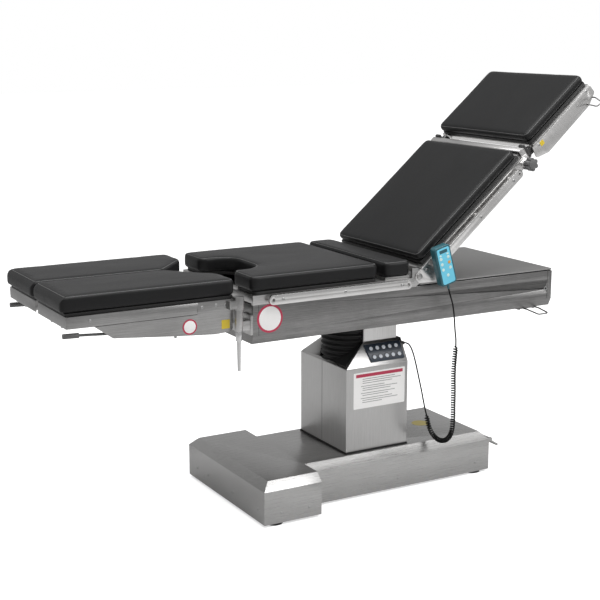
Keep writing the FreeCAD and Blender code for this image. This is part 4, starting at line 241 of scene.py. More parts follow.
MATERIALS = {
    "chassis_steel": brushed_steel("chassis_steel", 104, 168, 0.38, cloud=0.30),
    "cover_steel": brushed_steel("cover_steel", 160, 190, 0.30, ALONG_Z, cloud=0.06),
    "base_steel": brushed_steel("base_steel", 158, 186, 0.27, cloud=0.10),
    "frame_steel": brushed_steel("frame_steel", 150, 200, 0.34),
    "leg_steel": brushed_steel("leg_steel", 128, 176, 0.32, cloud=0.24),
    "bright_steel": brushed_steel("bright_steel", 186, 232, 0.24),
    # Copies of bright_steel and frame_steel painted lighter, as painted light on the tilted back and head
    # sections; their brushing is turned along the slope
    "sloped_bright_painted_lit": brushed_steel("sloped_bright_painted_lit", 206, 244, 0.24, turn_y=BACK_ANGLE),
    "sloped_steel_painted_lit": brushed_steel("sloped_steel_painted_lit", 190, 234, 0.30, turn_y=BACK_ANGLE),
    "sleeve_steel": brushed_steel("sleeve_steel", 180, 226, 0.3, ALONG_Z, cloud=0.06),
    "lid": brushed_steel("lid", 150, 172, 0.48, cloud=0.08),
    "chrome": chrome("chrome"),
    "screw_steel": chrome("screw_steel", 175, 0.28),
    "aluminium": painted("aluminium", grey(195), 0.4, 0.02, 0.03, 1.0),
    "dark_paint": painted("dark_paint", grey(48), 0.42, 0.05),
    "rubber": painted("rubber", grey(30), 0.62, 0.15),
    "board": painted("board", grey(32), 0.55, 0.05),
    "dark_plastic": painted("dark_plastic", grey(44), 0.45, 0.12),
    "grey_plastic": painted("grey_plastic", grey(92), 0.45, 0.1),
    "panel_blue": painted("panel_blue", (0.030, 0.042, 0.060), 0.30, 0.02),
    "key_ring": painted("key_ring", (0.008, 0.009, 0.012), 0.35, 0.02),
    "key_white": painted("key_white", (0.74, 0.78, 0.84), 0.40, 0.02, 0.02),
    "handset_teal": painted("handset_teal", (0.020, 0.095, 0.118), 0.40, 0.1),
    "handset_blue": painted("handset_blue", (0.150, 0.560, 0.740), 0.36, 0.03),
    "key_pale": painted("key_pale", (0.60, 0.76, 0.72), 0.42, 0.03),
    "key_orange": painted("key_orange", (0.68, 0.30, 0.04), 0.42, 0.03),
    "cord": painted("cord", grey(12), 0.5, 0.06, specular=0.2),
    # The pads' welt: pale grey, a painted highlight along their top edge
    "welt_painted_highlight": painted("welt_painted_highlight", grey(92), 0.30, 0.04),
    "wire": painted("wire", grey(120), 0.28, 0.02, 0.03, 1.0),
    "tag_yellow": painted("tag_yellow", (0.52, 0.43, 0.14), 0.5, 0.02, 0.08),
    # The black of the joints between sheets, also used as painted shade inside the drain holes
    "joint_and_hole_shade_black": painted("joint_and_hole_shade_black", grey(22), 0.6, 0.02),
    "label_white": painted("label_white", (0.88, 0.87, 0.86), 0.45, 0.02, 0.02),
    "label_red": painted("label_red", (0.46, 0.030, 0.075), 0.45, 0.02, 0.03),
    "label_grey": painted("label_grey", grey(150), 0.5, 0.02, 0.03),
    "label_yellow": painted("label_yellow", (0.62, 0.46, 0.03), 0.45, 0.02, 0.03),
    "pad": pad_skin("pad"),
}

# CAD nodes that keep their own mesh, and their materials
PLAIN_NODES = {
    "base_frame": "dark_paint", "battery_pack": "dark_plastic", "control_unit": "dark_plastic",
    # cutout_sheet is dark rubber in the cover's opening; its black is partly painted shade of the opening's inside
    "cutout_sheet": "rubber", "inner_column": "frame_steel", "lift_actuator": "aluminium", "lift_rod": "chrome",
    "tilt_yoke": "dark_paint", "tilt_cradle": "dark_paint", "pivot_hangers": "dark_paint",
    "column_sleeve": "sleeve_steel", "pull_handle": "wire", "head_loop": "wire",
}

# CAD nodes shown with softened edges: (material, width of the softening). Those in SOFT_PAIRS are there twice,
# with _near and _far after the name.
SOFT_NODES = {
    "base_cover": ("base_steel", 1.0), "base_pedal": ("frame_steel", 0.8), "feet": ("rubber", 1.2),
    "column_gasket": ("rubber", 0.8), "column_cover": ("cover_steel", 0.8),
    "control_panel": ("panel_blue", 0.8), "cord_gland": ("dark_plastic", 0.8),
    "chassis_box": ("chassis_steel", 0.8), "chassis_lid": ("lid", 0.9), "lid_seal": ("rubber", 0.8),
    "seat_frame": ("frame_steel", 0.8), "seat_board": ("board", 1.0), "kidney_frame": ("frame_steel", 1.0),
    "back_frame": ("sloped_steel_painted_lit", 0.8), "back_board": ("board", 1.0), "head_mount": ("dark_paint", 0.8),
    "head_frame": ("sloped_bright_painted_lit", 0.5), "handset_case": ("handset_teal", 0.8),
}
SOFT_PAIRS = {
    "seat_rail": ("bright_steel", 1.2), "back_rail": ("sloped_bright_painted_lit", 1.2), "clamp": ("grey_plastic", 1.4),
    "leg_bracket": ("frame_steel", 0.9), "leg_knuckle": ("frame_steel", 0.9), "leg_lock": ("chrome", 0.9),
    "leg_frame": ("leg_steel", 0.7), "leg_lever": ("grey_plastic", 1.0),
}

# Sheet folds with a wider rounding: (width, lowest height, least X, least Y of the edges)
FOLDS = {"column_cover": (5.0, 140.0, 118.0, 147.0), "base_cover": (4.0, 100.0, 0.0, 0.0)}
EDGE_ANGLE = 32.0
SHADING_ANGLE = 35.0
FLAT_ANGLE = 0.5
WELD = 0.01


def body_of(node):
    """The body that a CAD node belongs to."""
    return next(name for name, members in frame["record"]["behaviour"]["bodies"].items() if node in members)


def smooth_all(mesh):
    mesh.polygons.foreach_set("use_smooth", [True] * len(mesh.polygons))


def smooth_by_angle(mesh):
    """Smooth shading that keeps sharp edges."""
    work = bmesh.new()
    work.from_mesh(mesh)
    limit = math.radians(SHADING_ANGLE)
    sharp = [len(e.link_faces) != 2 or e.calc_face_angle(0.0) > limit for e in work.edges]
    work.free()
    smooth_all(mesh)
    mesh.edges.foreach_set("use_edge_sharp", sharp)


def add_object(name, mesh, material=None, body=None):
    """A mesh in the scene, with its material and its body where it has them already."""
    obj = bpy.data.objects.new(name, mesh)
    bpy.context.scene.collection.objects.link(obj)
    if material:
        mesh.materials.clear()
        mesh.materials.append(MATERIALS[material])
    if body:
        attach(obj, body)
    return obj


def mesh_of(name, work):
    """The mesh of a bmesh, its faces turned outwards. The bmesh is used up."""
    mesh = bpy.data.meshes.new(name)
    bmesh.ops.recalc_face_normals(work, faces=work.faces)
    work.to_mesh(mesh)
    work.free()
    return mesh


def apply_modifiers(obj):
    """Puts what the modifiers make in place of the object's mesh."""
    depsgraph = bpy.context.evaluated_depsgraph_get()
    mesh = bpy.data.meshes.new_from_object(obj.evaluated_get(depsgraph))
    old = obj.data
    obj.modifiers.clear()
    obj.data = mesh
    bpy.data.meshes.remove(old)


def round_edges(obj, width, weighed=False):
    """Rounds the sharp edges, or the weighed ones, and keeps the flat faces shaded flat."""
    bevel = obj.modifiers.new("edges", "BEVEL")
    bevel.width = width * mm
    bevel.segments = 3 if weighed else 2
    bevel.limit_method = "WEIGHT" if weighed else "ANGLE"
    bevel.angle_limit = math.radians(EDGE_ANGLE)
    bevel.harden_normals = True
    bevel.miter_outer = "MITER_ARC"
    smooth_all(obj.data)
    apply_modifiers(obj)


def soften(node, material, width):
    """Stands for a CAD node: the same mesh with its facets merged and its edges rounded."""
    work = bmesh.new()
    work.from_mesh(NODES[node].data)
    bmesh.ops.remove_doubles(work, verts=work.verts, dist=WELD * mm)
    bmesh.ops.dissolve_limit(work, angle_limit=math.radians(FLAT_ANGLE), verts=work.verts, edges=work.edges)
    bmesh.ops.triangulate(work, faces=[f for f in work.faces if len(f.verts) > 4])
    if node in FOLDS:
        weigh_folds(work, node, width)
    obj = add_object(node + "_soft", mesh_of(node + "_soft", work), material, body_of(node))
    round_edges(obj, FOLDS[node][0] if node in FOLDS else width, weighed=node in FOLDS)
    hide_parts(node)


def weigh_folds(work, node, width):
    """Gives the sheet's long outer folds their own wider rounding."""
    fold_width, low, half_x, half_y = FOLDS[node]
    weight = work.edges.layers.float.new("bevel_weight_edge")
    for edge in work.edges:
        ends = [DRAWING.inverted() @ v.co / mm for v in edge.verts]
        if len(edge.link_faces) != 2 or abs(edge.calc_face_angle(0.0)) < math.radians(EDGE_ANGLE):
            edge[weight] = 0.0
        elif all(p.z > low and abs(p.x) >= half_x and abs(p.y) >= half_y for p in ends):
            edge[weight] = 1.0
        else:
            edge[weight] = width / fold_width


def dress_nodes():
    """Materials and soft edges for the CAD nodes."""
    for name, material in PLAIN_NODES.items():
        mesh = NODES[name].data
        mesh.materials.clear()
        mesh.materials.append(MATERIALS[material])
        smooth_by_angle(mesh)
    for name, (material, width) in SOFT_NODES.items():
        soften(name, material, width)
    for name, (material, width) in SOFT_PAIRS.items():
        for side, _ in SIDES:
            soften(name + "_" + side, material, width)


# Small pieces. Each is made flat, X and Y across it and Z out of it, then laid on its surface.


def circle(sides):
    """The cosine and sine of each corner of a round outline."""
    turns = [2 * math.pi * k / sides for k in range(sides)]
    return [(math.cos(turn), math.sin(turn)) for turn in turns]


def skin(work, rings, closed=False):
    """Faces between rings of points. The last ring joins the first one, or else both ends are capped."""
    sides = len(rings[0])
    for low, high in zip(rings, rings[1:] + rings[:1] if closed else rings[1:]):
        for k in range(sides):
            work.faces.new((low[k], low[(k + 1) % sides], high[(k + 1) % sides], high[k]))
    if not closed:
        work.faces.new(rings[0][::-1])
        work.faces.new(rings[-1])


def facing(matrix, place, side):
    """The matrix that lays a flat piece on an upright face of the near (-1) or far (+1) side, or of the leg
    end ("leg"), or on a level face ("up"), at a point of the drawing."""
    turns = {
        -1: ((1, 0, 0), (0, 0, 1), (0, -1, 0)),
        1: ((-1, 0, 0), (0, 0, 1), (0, 1, 0)),
        "leg": ((0, -1, 0), (0, 0, 1), (-1, 0, 0)),
        "up": ((1, 0, 0), (0, 1, 0), (0, 0, 1)),
    }[side]
    turn = Matrix(turns).transposed().to_4x4()
    return matrix @ Matrix.Translation(Vector(place) * mm) @ turn


def lathe(profile, sides=28):
    """A solid turned about Z from (radius, height) pairs in millimetres, closed at both ends."""
    work = bmesh.new()
    skin(work, [[work.verts.new((radius * mm * c, radius * mm * s, height * mm)) for c, s in circle(sides)]
                for radius, height in profile])
    return work


def round_piece(name, profile, matrix, material, body, sides=28):
    mesh = mesh_of(name, lathe(profile, sides))
    mesh.transform(matrix)
    smooth_by_angle(mesh)
    return add_object(name, mesh, material, body)


# A button head in shares of its radius: height, the profile's (radius, height), and its socket's two steps
SCREW_RISE = 0.42
SCREW_PROFILE = ((1.0, 0.0), (0.97, 0.4), (0.82, 0.8), (0.6, 1.0))
SCREW_STEPS = (0.12, 0.08)
SCREW_SOCKET = 0.7
SCREW_SIDES = 18


def screw(name, matrix, radius, body):
    """A button-head screw with a socket."""
    rise = radius * SCREW_RISE
    work = lathe([(radius * r, rise * h) for r, h in SCREW_PROFILE], SCREW_SIDES)
    bmesh.ops.recalc_face_normals(work, faces=work.faces)
    top = max(work.faces, key=lambda f: f.calc_center_median().z)
    for step in SCREW_STEPS:
        bmesh.ops.inset_region(work, faces=[top], thickness=radius * step * mm)
    bmesh.ops.translate(work, verts=top.verts, vec=(0, 0, -rise * SCREW_SOCKET * mm))
    mesh = mesh_of(name, work)
    mesh.transform(matrix)
    smooth_by_angle(mesh)
    add_object(name, mesh, "screw_steel", body)


def rounded_outline(corners, step=6.0):
    """The points of a closed outline with rounded corners, each corner (x, y, radius), in millimetres."""
    points = []
    count = len(corners)
    for i, (x, y, radius) in enumerate(corners):
        here = Vector((x, y))
        back = (Vector(corners[i - 1][:2]) - here).normalized()
        on = (Vector(corners[(i + 1) % count][:2]) - here).normalized()
        half = back.angle(on) / 2
        reach = radius / math.tan(half)
        centre = here + (back + on).normalized() * (radius / math.sin(half))
        start, end = here + back * reach, here + on * reach
        arm = start - centre
        turn = arm.angle_signed(end - centre)
        steps = max(2, round(abs(turn) * radius / step))
        for k in range(steps + 1):
            a = -turn * k / steps
            points.append(centre + Vector((arm.x * math.cos(a) - arm.y * math.sin(a),
                                           arm.x * math.sin(a) + arm.y * math.cos(a))))
    return points


def slab(name, corners, low, high, step=6.0):
    """A closed slab over a rounded outline, between two heights in millimetres."""
    work = bmesh.new()
    ring = [work.verts.new((p.x * mm, p.y * mm, low * mm)) for p in rounded_outline(corners, step)]
    top = bmesh.ops.extrude_face_region(work, geom=[work.faces.new(ring)])
    risen = [v for v in top["geom"] if isinstance(v, bmesh.types.BMVert)]
    bmesh.ops.translate(work, verts=risen, vec=(0, 0, (high - low) * mm))
    return mesh_of(name, work)


def plate(name, corners, thick, matrix, material, body, edge=0.25):
    """A thin plate with rounded corners, lifted off its surface by its own thickness."""
    mesh = slab(name, corners, 0.0, thick, 1.5)
    mesh.transform(matrix)
    obj = add_object(name, mesh, material, body)
    round_edges(obj, edge)
    return obj


def oblong(width, height, radius, x=0.0, y=0.0):
    """The corners of an upright rectangle about a point."""
    x0, x1, y0, y1 = x - width / 2, x + width / 2, y - height / 2, y + height / 2
    return [(x0, y0, radius), (x1, y0, radius), (x1, y1, radius), (x0, y1, radius)]


DISC_SIDES = 48


def ringed_disc(name, matrix, radius, band, body):
    """A bare white disc with a red band round it, in place of a sign."""
    rim = ((radius, 0.0), (radius, 0.5), (radius - 0.4, 0.8))
    round_piece(name, rim, matrix, "label_red", body, DISC_SIDES)
    inner = radius - band
    field = ((inner, 0.4), (inner, 0.9), (inner - 0.3, 1.0))
    round_piece(name + "_field", field, matrix, "label_white", body, DISC_SIDES)


# Outer faces of the table, in the drawing's millimetres
LEG_PLATE_Y = 252.0
LEG_STRIP_Y = 253.6
BACK_SIDE_Y = 252.8
HEAD_SIDE_Y = 253.5
RAIL_Y = 272.0
CHASSIS_Y = 248.5
COVER_Y = 149.0
COVER_X = 120.0
BASE_NARROW_Y = 191.0
BASE_WIDE_Y = 274.0
BASE_LEG_X = -489.0
BASE_TOP = 141.0

# Bare discs: (name, place, radius, width of the band, body)
DISCS = (
    ("chassis_disc", (-453, -CHASSIS_Y, 655), 44.0, 7.0, "table"),
    ("leg_disc", (-719, -LEG_PLATE_Y, 660), 23.0, 4.5, "leg_near"))
# Bare tags: (name, drawing, place, side, width, corner, thickness, material, body)
TAGS = (
    ("leg_tag", DRAWING, (-603, -LEG_PLATE_Y, 655), -1, 27, 2, 0.5, "label_yellow", "leg_near"),
    ("head_tag", BACK, (628, -HEAD_SIDE_Y, -6), -1, 17, 2, 0.5, "label_yellow", "head"),
    ("base_tag", DRAWING, (287, 12, BASE_TOP), "up", 60, 29.9, 0.4, "tag_yellow", "base"))
LABEL_PLACE = (8, -COVER_Y, 349)
LABEL_SIZE = (200, 122, 3)
LABEL_BAND = (182, 11, 1, 0.0, 50.0)
# Plain grey rows in place of the label's words: (height, start, end)
LABEL_ROWS = ((38, -66, 60), (31, -66, 84), (24, -66, 50), (14, -72, 20), (7, -66, 70), (0, -66, 44),
              (-10, -72, 60), (-17, -66, 34), (-27, -72, 50), (-34, -66, 72), (-41, -66, 10))
LABEL_ROW_HEIGHT = 2.4


def make_signs():
    """Bare plates and discs where the photograph shows signs."""
    for name, place, radius, band, body in DISCS:
        ringed_disc(name, facing(DRAWING, place, -1), radius, band, body)
    for name, drawing, place, side, width, corner, thick, material, body in TAGS:
        plate(name, oblong(width, width, corner), thick, facing(drawing, place, side), material, body)
    label = facing(DRAWING, LABEL_PLACE, -1)
    plate("label", oblong(*LABEL_SIZE), 0.5, label, "label_white", "base")
    plate("label_band", oblong(*LABEL_BAND), 0.7, label, "label_red", "base")
    for i, (row, start, end) in enumerate(LABEL_ROWS):
        corners = oblong(end - start, LABEL_ROW_HEIGHT, 0.5, (start + end) / 2, row)
        plate("label_row_%d" % i, corners, 0.6, label, "label_grey", "base", 0.1)


# Screws on both sides, by the body that carries them: (drawing, place, radius of the head)
SIDE_SCREWS = {
    "leg": ((DRAWING, (-1023, LEG_STRIP_Y, 712.6), 4.6), (DRAWING, (-679, LEG_PLATE_Y, 714), 4.6),
            (DRAWING, (-634, LEG_PLATE_Y, 716), 4.2), (DRAWING, (-604, LEG_PLATE_Y, 713), 4.6)),
    "table": tuple((DRAWING, (x, RAIL_Y, 715), 5.2) for x in (-420, -200, 10)),
    "back": tuple((BACK, (s, RAIL_Y, -11), 5.2) for s in (120, 285, 455))
            + ((BACK, (60, BACK_SIDE_Y, -44), 4.4), (BACK, (34, BACK_SIDE_Y, -2), 4.4)),
    "head": ((BACK, (614, HEAD_SIDE_Y, -2), 4.4), (BACK, (870, HEAD_SIDE_Y, 2), 4.4)),
}
# Screws low on the base: (name, place, side)
BASE_SCREW_RADIUS = 4.6
BASE_SCREWS = (
    [("screw_base_%d" % i, (BASE_LEG_X, y, 49), "leg") for i, y in enumerate((126, -60, 210, -230))]
    + [("screw_base_side_%d" % i, (x, -BASE_WIDE_Y, 40), -1) for i, x in enumerate((-430, -330))]
    + [("screw_base_narrow_%d" % i, (x, -BASE_NARROW_Y, 40), -1) for i, x in enumerate((-240, 60, 380))])


def make_screws():
    for group, screws in SIDE_SCREWS.items():
        for side, sign in SIDES:
            body = "leg_" + side if group == "leg" else group
            for i, (matrix, (x, y, z), radius) in enumerate(screws):
                screw("screw_%s_%s_%d" % (group, side, i), facing(matrix, (x, sign * y, z), sign), radius, body)
    for name, place, side in BASE_SCREWS:
        screw(name, facing(DRAWING, place, side), BASE_SCREW_RADIUS, "base")


CHASSIS_JOINTS_X = (-491.0, 619.0)
CHASSIS_JOINT_Z = (606.0, 699.0)
CHASSIS_JOINT_HALF = 0.6
LEG_LINE_X = (-1008.0, -694.0)
LEG_LINE_Z = 693.9
LEG_LINE_HALF = 0.7
COVER_JOINT_Y = (-6.2, -5.0)
COVER_JOINT_Z = (150.0, 424.0)
HOLE_PLACE = (612, 640)
HOLE_RING = ((7.0, 0.0), (7.0, 0.5), (6.2, 0.9), (4.2, 0.9), (4.2, 0.1))
# A flat black disc inside each ring: painted shade standing for the hole's inside
HOLE_PAINTED_SHADE = ((4.1, 0.0), (4.1, 0.2), (3.8, 0.25))


def strip(name, matrix, across, up, body):
    """A thin black line between two sheets, over a span across its surface and a span up it."""
    corners = oblong(across[1] - across[0], up[1] - up[0], 0.3, sum(across) / 2, sum(up) / 2)
    plate(name, corners, 0.25, matrix, "joint_and_hole_shade_black", body, 0.05)


def make_seams():
    """Thin black joints between sheets, and the drain holes' bright rings, each round a black disc of painted
    shade in place of the hole's inside.
    """
    for side, sign in SIDES:
        face = facing(DRAWING, (0, sign * CHASSIS_Y, 0), sign)
        for i, x in enumerate(CHASSIS_JOINTS_X):
            middle = -sign * x
            strip("chassis_joint_%s_%d" % (side, i), face,
                  (middle - CHASSIS_JOINT_HALF, middle + CHASSIS_JOINT_HALF), CHASSIS_JOINT_Z, "table")
    for side, sign in SIDES:
        face = facing(DRAWING, (0, sign * LEG_PLATE_Y, 0), sign)
        strip("leg_strip_line_" + side, face, sorted(-sign * x for x in LEG_LINE_X),
              (LEG_LINE_Z - LEG_LINE_HALF, LEG_LINE_Z + LEG_LINE_HALF), "leg_" + side)
    strip("cover_joint", facing(DRAWING, (-COVER_X, 0, 0), "leg"), COVER_JOINT_Y, COVER_JOINT_Z, "base")
    for side, sign in SIDES:
        hole = facing(DRAWING, (HOLE_PLACE[0], sign * CHASSIS_Y, HOLE_PLACE[1]), sign)
        round_piece("hole_ring_" + side, HOLE_RING, hole, "screw_steel", "table")
        round_piece("hole_painted_shade_" + side, HOLE_PAINTED_SHADE, hole, "joint_and_hole_shade_black", "table")


# Handset and key panel
HANDSET_FROM_HINGE = (68.8, 35.95)
HANDSET_LEAN = math.radians(15.5)
HANDSET_FACE_Y = 300.0
HANDSET_FRONT = (48, 119, 6)
HANDSET_WINDOW = (30, 11, 1.5, 0.0, 48.5)
HANDSET_TOP_KEYS = ((-14.0, 37.0), (14.0, 37.0))
HANDSET_TOP_KEY = (8, 5, 2)
HANDSET_KEYS = (
    (-14.0, 26.0, "key_pale"), (14.0, 26.0, "key_pale"), (-14.0, 8.0, "key_pale"), (14.0, 8.0, "key_orange"),
    (-14.0, -10.0, "key_pale"), (14.0, -10.0, "key_pale"), (0.0, -32.0, "key_pale"))
HANDSET_KEY = ((5.2, 0.9), (5.2, 1.3), (4.8, 1.5), (4.6, 1.3), (4.4, 1.8), (3.6, 2.0))


def make_handset():
    """The light face of the handset with its window and keys, each in its own frame."""
    across, up = HANDSET_FROM_HINGE
    hung = (Matrix.Translation((BACK_HINGE.x + across * mm, 0, BACK_HINGE.z + up * mm))
            @ Matrix.Rotation(-HANDSET_LEAN, 4, "Y"))
    front = facing(hung, (0, -HANDSET_FACE_Y, 0), -1)
    face = plate("handset_front", oblong(*HANDSET_FRONT), 1.0, front, "handset_blue", "handset", 0.4)
    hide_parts("handset_face")
    plate("handset_window", oblong(*HANDSET_WINDOW), 1.15, front, "handset_teal", "handset", 0.1)
    for i, (x, z) in enumerate(HANDSET_TOP_KEYS):
        plate("handset_key_%d" % i, oblong(*HANDSET_TOP_KEY, x, z), 1.8, front, "key_pale", "handset", 0.3)
    for i, (x, z, material) in enumerate(HANDSET_KEYS, len(HANDSET_TOP_KEYS)):
        round_piece("handset_key_%d" % i, HANDSET_KEY, facing(hung, (x, -HANDSET_FACE_Y, z), -1), material,
                    "handset")


PANEL_RING = ((8.6, 0.0), (8.6, 0.5), (8.2, 0.7))
PANEL_KEY = ((6.8, 0.3), (6.8, 1.2), (6.2, 1.6), (3.0, 1.5))


def loose_parts(mesh):
    """The points of each separate solid of a mesh."""
    work = bmesh.new()
    work.from_mesh(mesh)
    bmesh.ops.remove_doubles(work, verts=work.verts, dist=WELD * mm)
    parts = []
    seen = set()
    for vert in work.verts:
        if vert in seen:
            continue
        stack, part = [vert], []
        seen.add(vert)
        while stack:
            here = stack.pop()
            part.append(here.co.copy())
            for edge in here.link_edges:
                other = edge.other_vert(here)
                if other not in seen:
                    seen.add(other)
                    stack.append(other)
        parts.append(np.array(part))
    work.free()
    return parts


def make_panel_keys():
    """White keys, each in a dark ring, over the CAD's plain ones on the sloped panel."""
    mesh = NODES["panel_keys"].data
    points = np.array([v.co for v in mesh.vertices])
    normal = Vector(np.linalg.svd(points - points.mean(0), full_matrices=False)[2][-1]).normalized()
    if normal.y > 0:
        normal = -normal
    turn = normal.to_track_quat("Z", "Y").to_matrix().to_4x4()
    for i, part in enumerate(loose_parts(mesh)):
        centre = Vector(part.mean(0))
        low = min((Vector(p) - centre).dot(normal) for p in part)
        foot = Matrix.Translation(centre + normal * low) @ turn
        round_piece("panel_ring_%d" % i, PANEL_RING, foot, "key_ring", "base")
        key = round_piece("panel_key_%d" % i, PANEL_KEY, foot, "key_white", "base")
        if i == 0:
            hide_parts("panel_keys")


# Bellows
BELLOWS_FOLDS = 13
BELLOWS_RADIUS = 90.0
BELLOWS_FOLD = 9.0
BELLOWS_WALL = 1.6
BELLOWS_TURNS = 56
BELLOWS_STEPS = 8
BELLOWS_FULLNESS = 0.8


def make_bellows():
    """The half-round rubber bellows with soft folds."""
    low, high = box_in("bellows", DRAWING)
    middle_x = high[0]
    step = (high[2] - low[2]) / BELLOWS_FOLDS
    profile = []
    for i in range(BELLOWS_FOLDS * BELLOWS_STEPS + 1):
        phase = i / BELLOWS_STEPS
        crest = 0.5 - 0.5 * math.cos(2 * math.pi * phase)
        profile.append((BELLOWS_RADIUS - BELLOWS_FOLD * (1 - crest ** BELLOWS_FULLNESS), low[2] + phase * step))
    work = bmesh.new()
    rows = []
    for k in range(BELLOWS_TURNS + 1):
        a = math.pi / 2 + math.pi * k / BELLOWS_TURNS
        rows.append([work.verts.new(((middle_x + r * math.cos(a)) * mm, r * math.sin(a) * mm, z * mm))
                     for r, z in profile])
    for a, b in zip(rows, rows[1:]):
        for i in range(len(profile) - 1):
            work.faces.new((a[i], a[i + 1], b[i + 1], b[i]))
    mesh = mesh_of("bellows_folds", work)
    mesh.transform(DRAWING)
    obj = add_object("bellows_folds", mesh, "rubber")
    thick = obj.modifiers.new("wall", "SOLIDIFY")
    thick.thickness = BELLOWS_WALL * mm
    thick.offset = -1.0
    apply_modifiers(obj)
    smooth_all(obj.data)
    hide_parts("bellows")
    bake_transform(obj)


# Pads
PAD_VOXEL = 5.5
PAD_SHRINK = 2.0
PAD_FRAMES = 16
PAD_PRESSURE = 4.0
PAD_CORNER = 18.0
PAD_EDGE = 9.0
PAD_EDGE_ANGLE = 60.0
# The crown: it grows inwards over CROWN_RUN, and only the top side above CROWN_FROM of the height has it
CROWN = 2.0
KIDNEY_CROWN = 1.0
CROWN_RUN = 55.0
CROWN_FROM = 0.6
SEAM_RADIUS = 0.9
SEAM_SIDES = 6
SEAM_DROP = 4.0
SEAT_CUT_HALF = 112.0
SEAT_CUT_DEPTH = 102.0
SEAT_CUT_ROUND = 70.0
SEAT_LIP_ROUND = 26.0
BOARD_GAP = 0.2
BOARD_EDGE = 1.0
BOARD_CORNER = 10.0
HEAD_BOARD_THICK = 12.0
HEAD_BOARD_IN = 4.0
LEG_BOARD_THICK = 9.0
LEG_HIP_CORNER_Y = 143.0
LEG_CROTCH_X = -687.0
LEG_SLANT = 0.4
LEG_FOOT_ROUND = 32.0
# Outline of a leg section's pad and board: (inset, outer hip corner, inner hip corners, foot corners)
LEG_PAD_OUTLINE = (0.0, PAD_CORNER, 30.0, 12.0)
LEG_BOARD_OUTLINE = (6.0, BOARD_CORNER, 20.0, 4.0)
# How far the swollen skins stand out past the CAD pads at the leg end, as the photograph shows them
LEG_OVERHANG = 9.0
SEAT_OVERHANG = 6.0


def outline_distance(points, outline):
    """How far each point lies inside an outline, seen from above, in millimetres."""
    ring = np.array([[p.x, p.y] for p in outline])
    best = np.full(len(points), 1e9)
    for a, b in zip(ring, np.roll(ring, -1, axis=0)):
        run = b - a
        t = np.clip(((points[:, :2] - a) @ run) / max((run ** 2).sum(), 1e-6), 0, 1)
        best = np.minimum(best, np.linalg.norm(points[:, :2] - (a + t[:, None] * run), axis=1))
    return best


def points_of(obj):
    """The mesh's points in millimetres."""
    points = np.empty(len(obj.data.vertices) * 3)
    obj.data.vertices.foreach_get("co", points)
    return points.reshape(-1, 3) / mm


def swell(obj, cap):
    """Blows the pad up a little, as foam fills its skin: no point moves further than cap millimetres."""
    rest = points_of(obj)
    cloth = obj.modifiers.new("swell", "CLOTH")
    settings = cloth.settings
    settings.quality = 4
    settings.mass = 0.3
    settings.tension_stiffness = settings.compression_stiffness = 25
    settings.bending_stiffness = 4
    settings.use_pressure = True
    settings.uniform_pressure_force = PAD_PRESSURE
    settings.effector_weights.gravity = 0.0
    cloth.point_cache.frame_start = 1
    cloth.point_cache.frame_end = PAD_FRAMES
    for number in range(1, PAD_FRAMES + 1):
        bpy.context.scene.frame_set(number)
    apply_modifiers(obj)
    bpy.context.scene.frame_set(1)
    move = points_of(obj) - rest
    length = np.linalg.norm(move, axis=1, keepdims=True)
    return rest + move * np.minimum(1.0, cap / np.maximum(length, 1e-9))


def round_foot(points, high, foot_x, radius):
    """Draws the points of the pad's upper foot edge in to a wide rounding."""
    centre = np.array([foot_x + radius, high - radius])
    arm = points[:, (0, 2)] - centre
    reach = np.linalg.norm(arm, axis=1)
    beyond = (arm[:, 0] < 0) & (arm[:, 1] > 0) & (reach > radius)
    arm[beyond] *= (radius / reach[beyond])[:, None]
    points[:, 0] = centre[0] + arm[:, 0]
    points[:, 2] = centre[1] + arm[:, 1]


def pad(name, node, corners, low, high, matrix, body, crown=CROWN, foot=None):
    """A moulded pad: a slab with round edges, swollen by cloth simulation, flat underneath, with a welt round its
    top, pale grey as a painted highlight of the edge. matrix takes the drawing in which the pad lies flat to the
    frame. foot is the end that is rounded off further, (x, radius)."""
    obj = add_object(name, slab(name, corners, low, high - PAD_SHRINK))
    bevel = obj.modifiers.new("round", "BEVEL")
    bevel.width = PAD_EDGE * mm
    bevel.segments = 4
    bevel.limit_method = "ANGLE"
    bevel.angle_limit = math.radians(PAD_EDGE_ANGLE)
    remesh = obj.modifiers.new("even", "REMESH")
    remesh.mode = "VOXEL"
    remesh.voxel_size = PAD_VOXEL * mm
    smooth = obj.modifiers.new("smooth", "SMOOTH")
    smooth.factor = 0.5
    smooth.iterations = 2
    apply_modifiers(obj)
    points = swell(obj, PAD_SHRINK)
    inside = outline_distance(points, rounded_outline(corners))
    rise = np.clip((points[:, 2] - low) / (high - low), 0, 1)
    points[:, 2] += crown * (1 - np.exp(-inside / CROWN_RUN)) * (rise > CROWN_FROM)
    points[:, 2] = np.clip(points[:, 2], low, high + crown)
    if foot:
        round_foot(points, high, *foot)
    obj.data.vertices.foreach_set("co", (points * mm).ravel())
    subdivide = obj.modifiers.new("finer", "SUBSURF")
    subdivide.levels = subdivide.render_levels = 1
    apply_modifiers(obj)
    smooth_all(obj.data)
    obj.data.materials.clear()
    obj.data.materials.append(MATERIALS["pad"])
    # The welt is pale grey, a painted highlight along the pad's top edge
    welt = seam_line(name + "_seam", obj, high - SEAM_DROP)
    welt.data.transform(matrix)
    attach(welt, body)
    obj.data.transform(matrix)
    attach(obj, body)
    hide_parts(node)


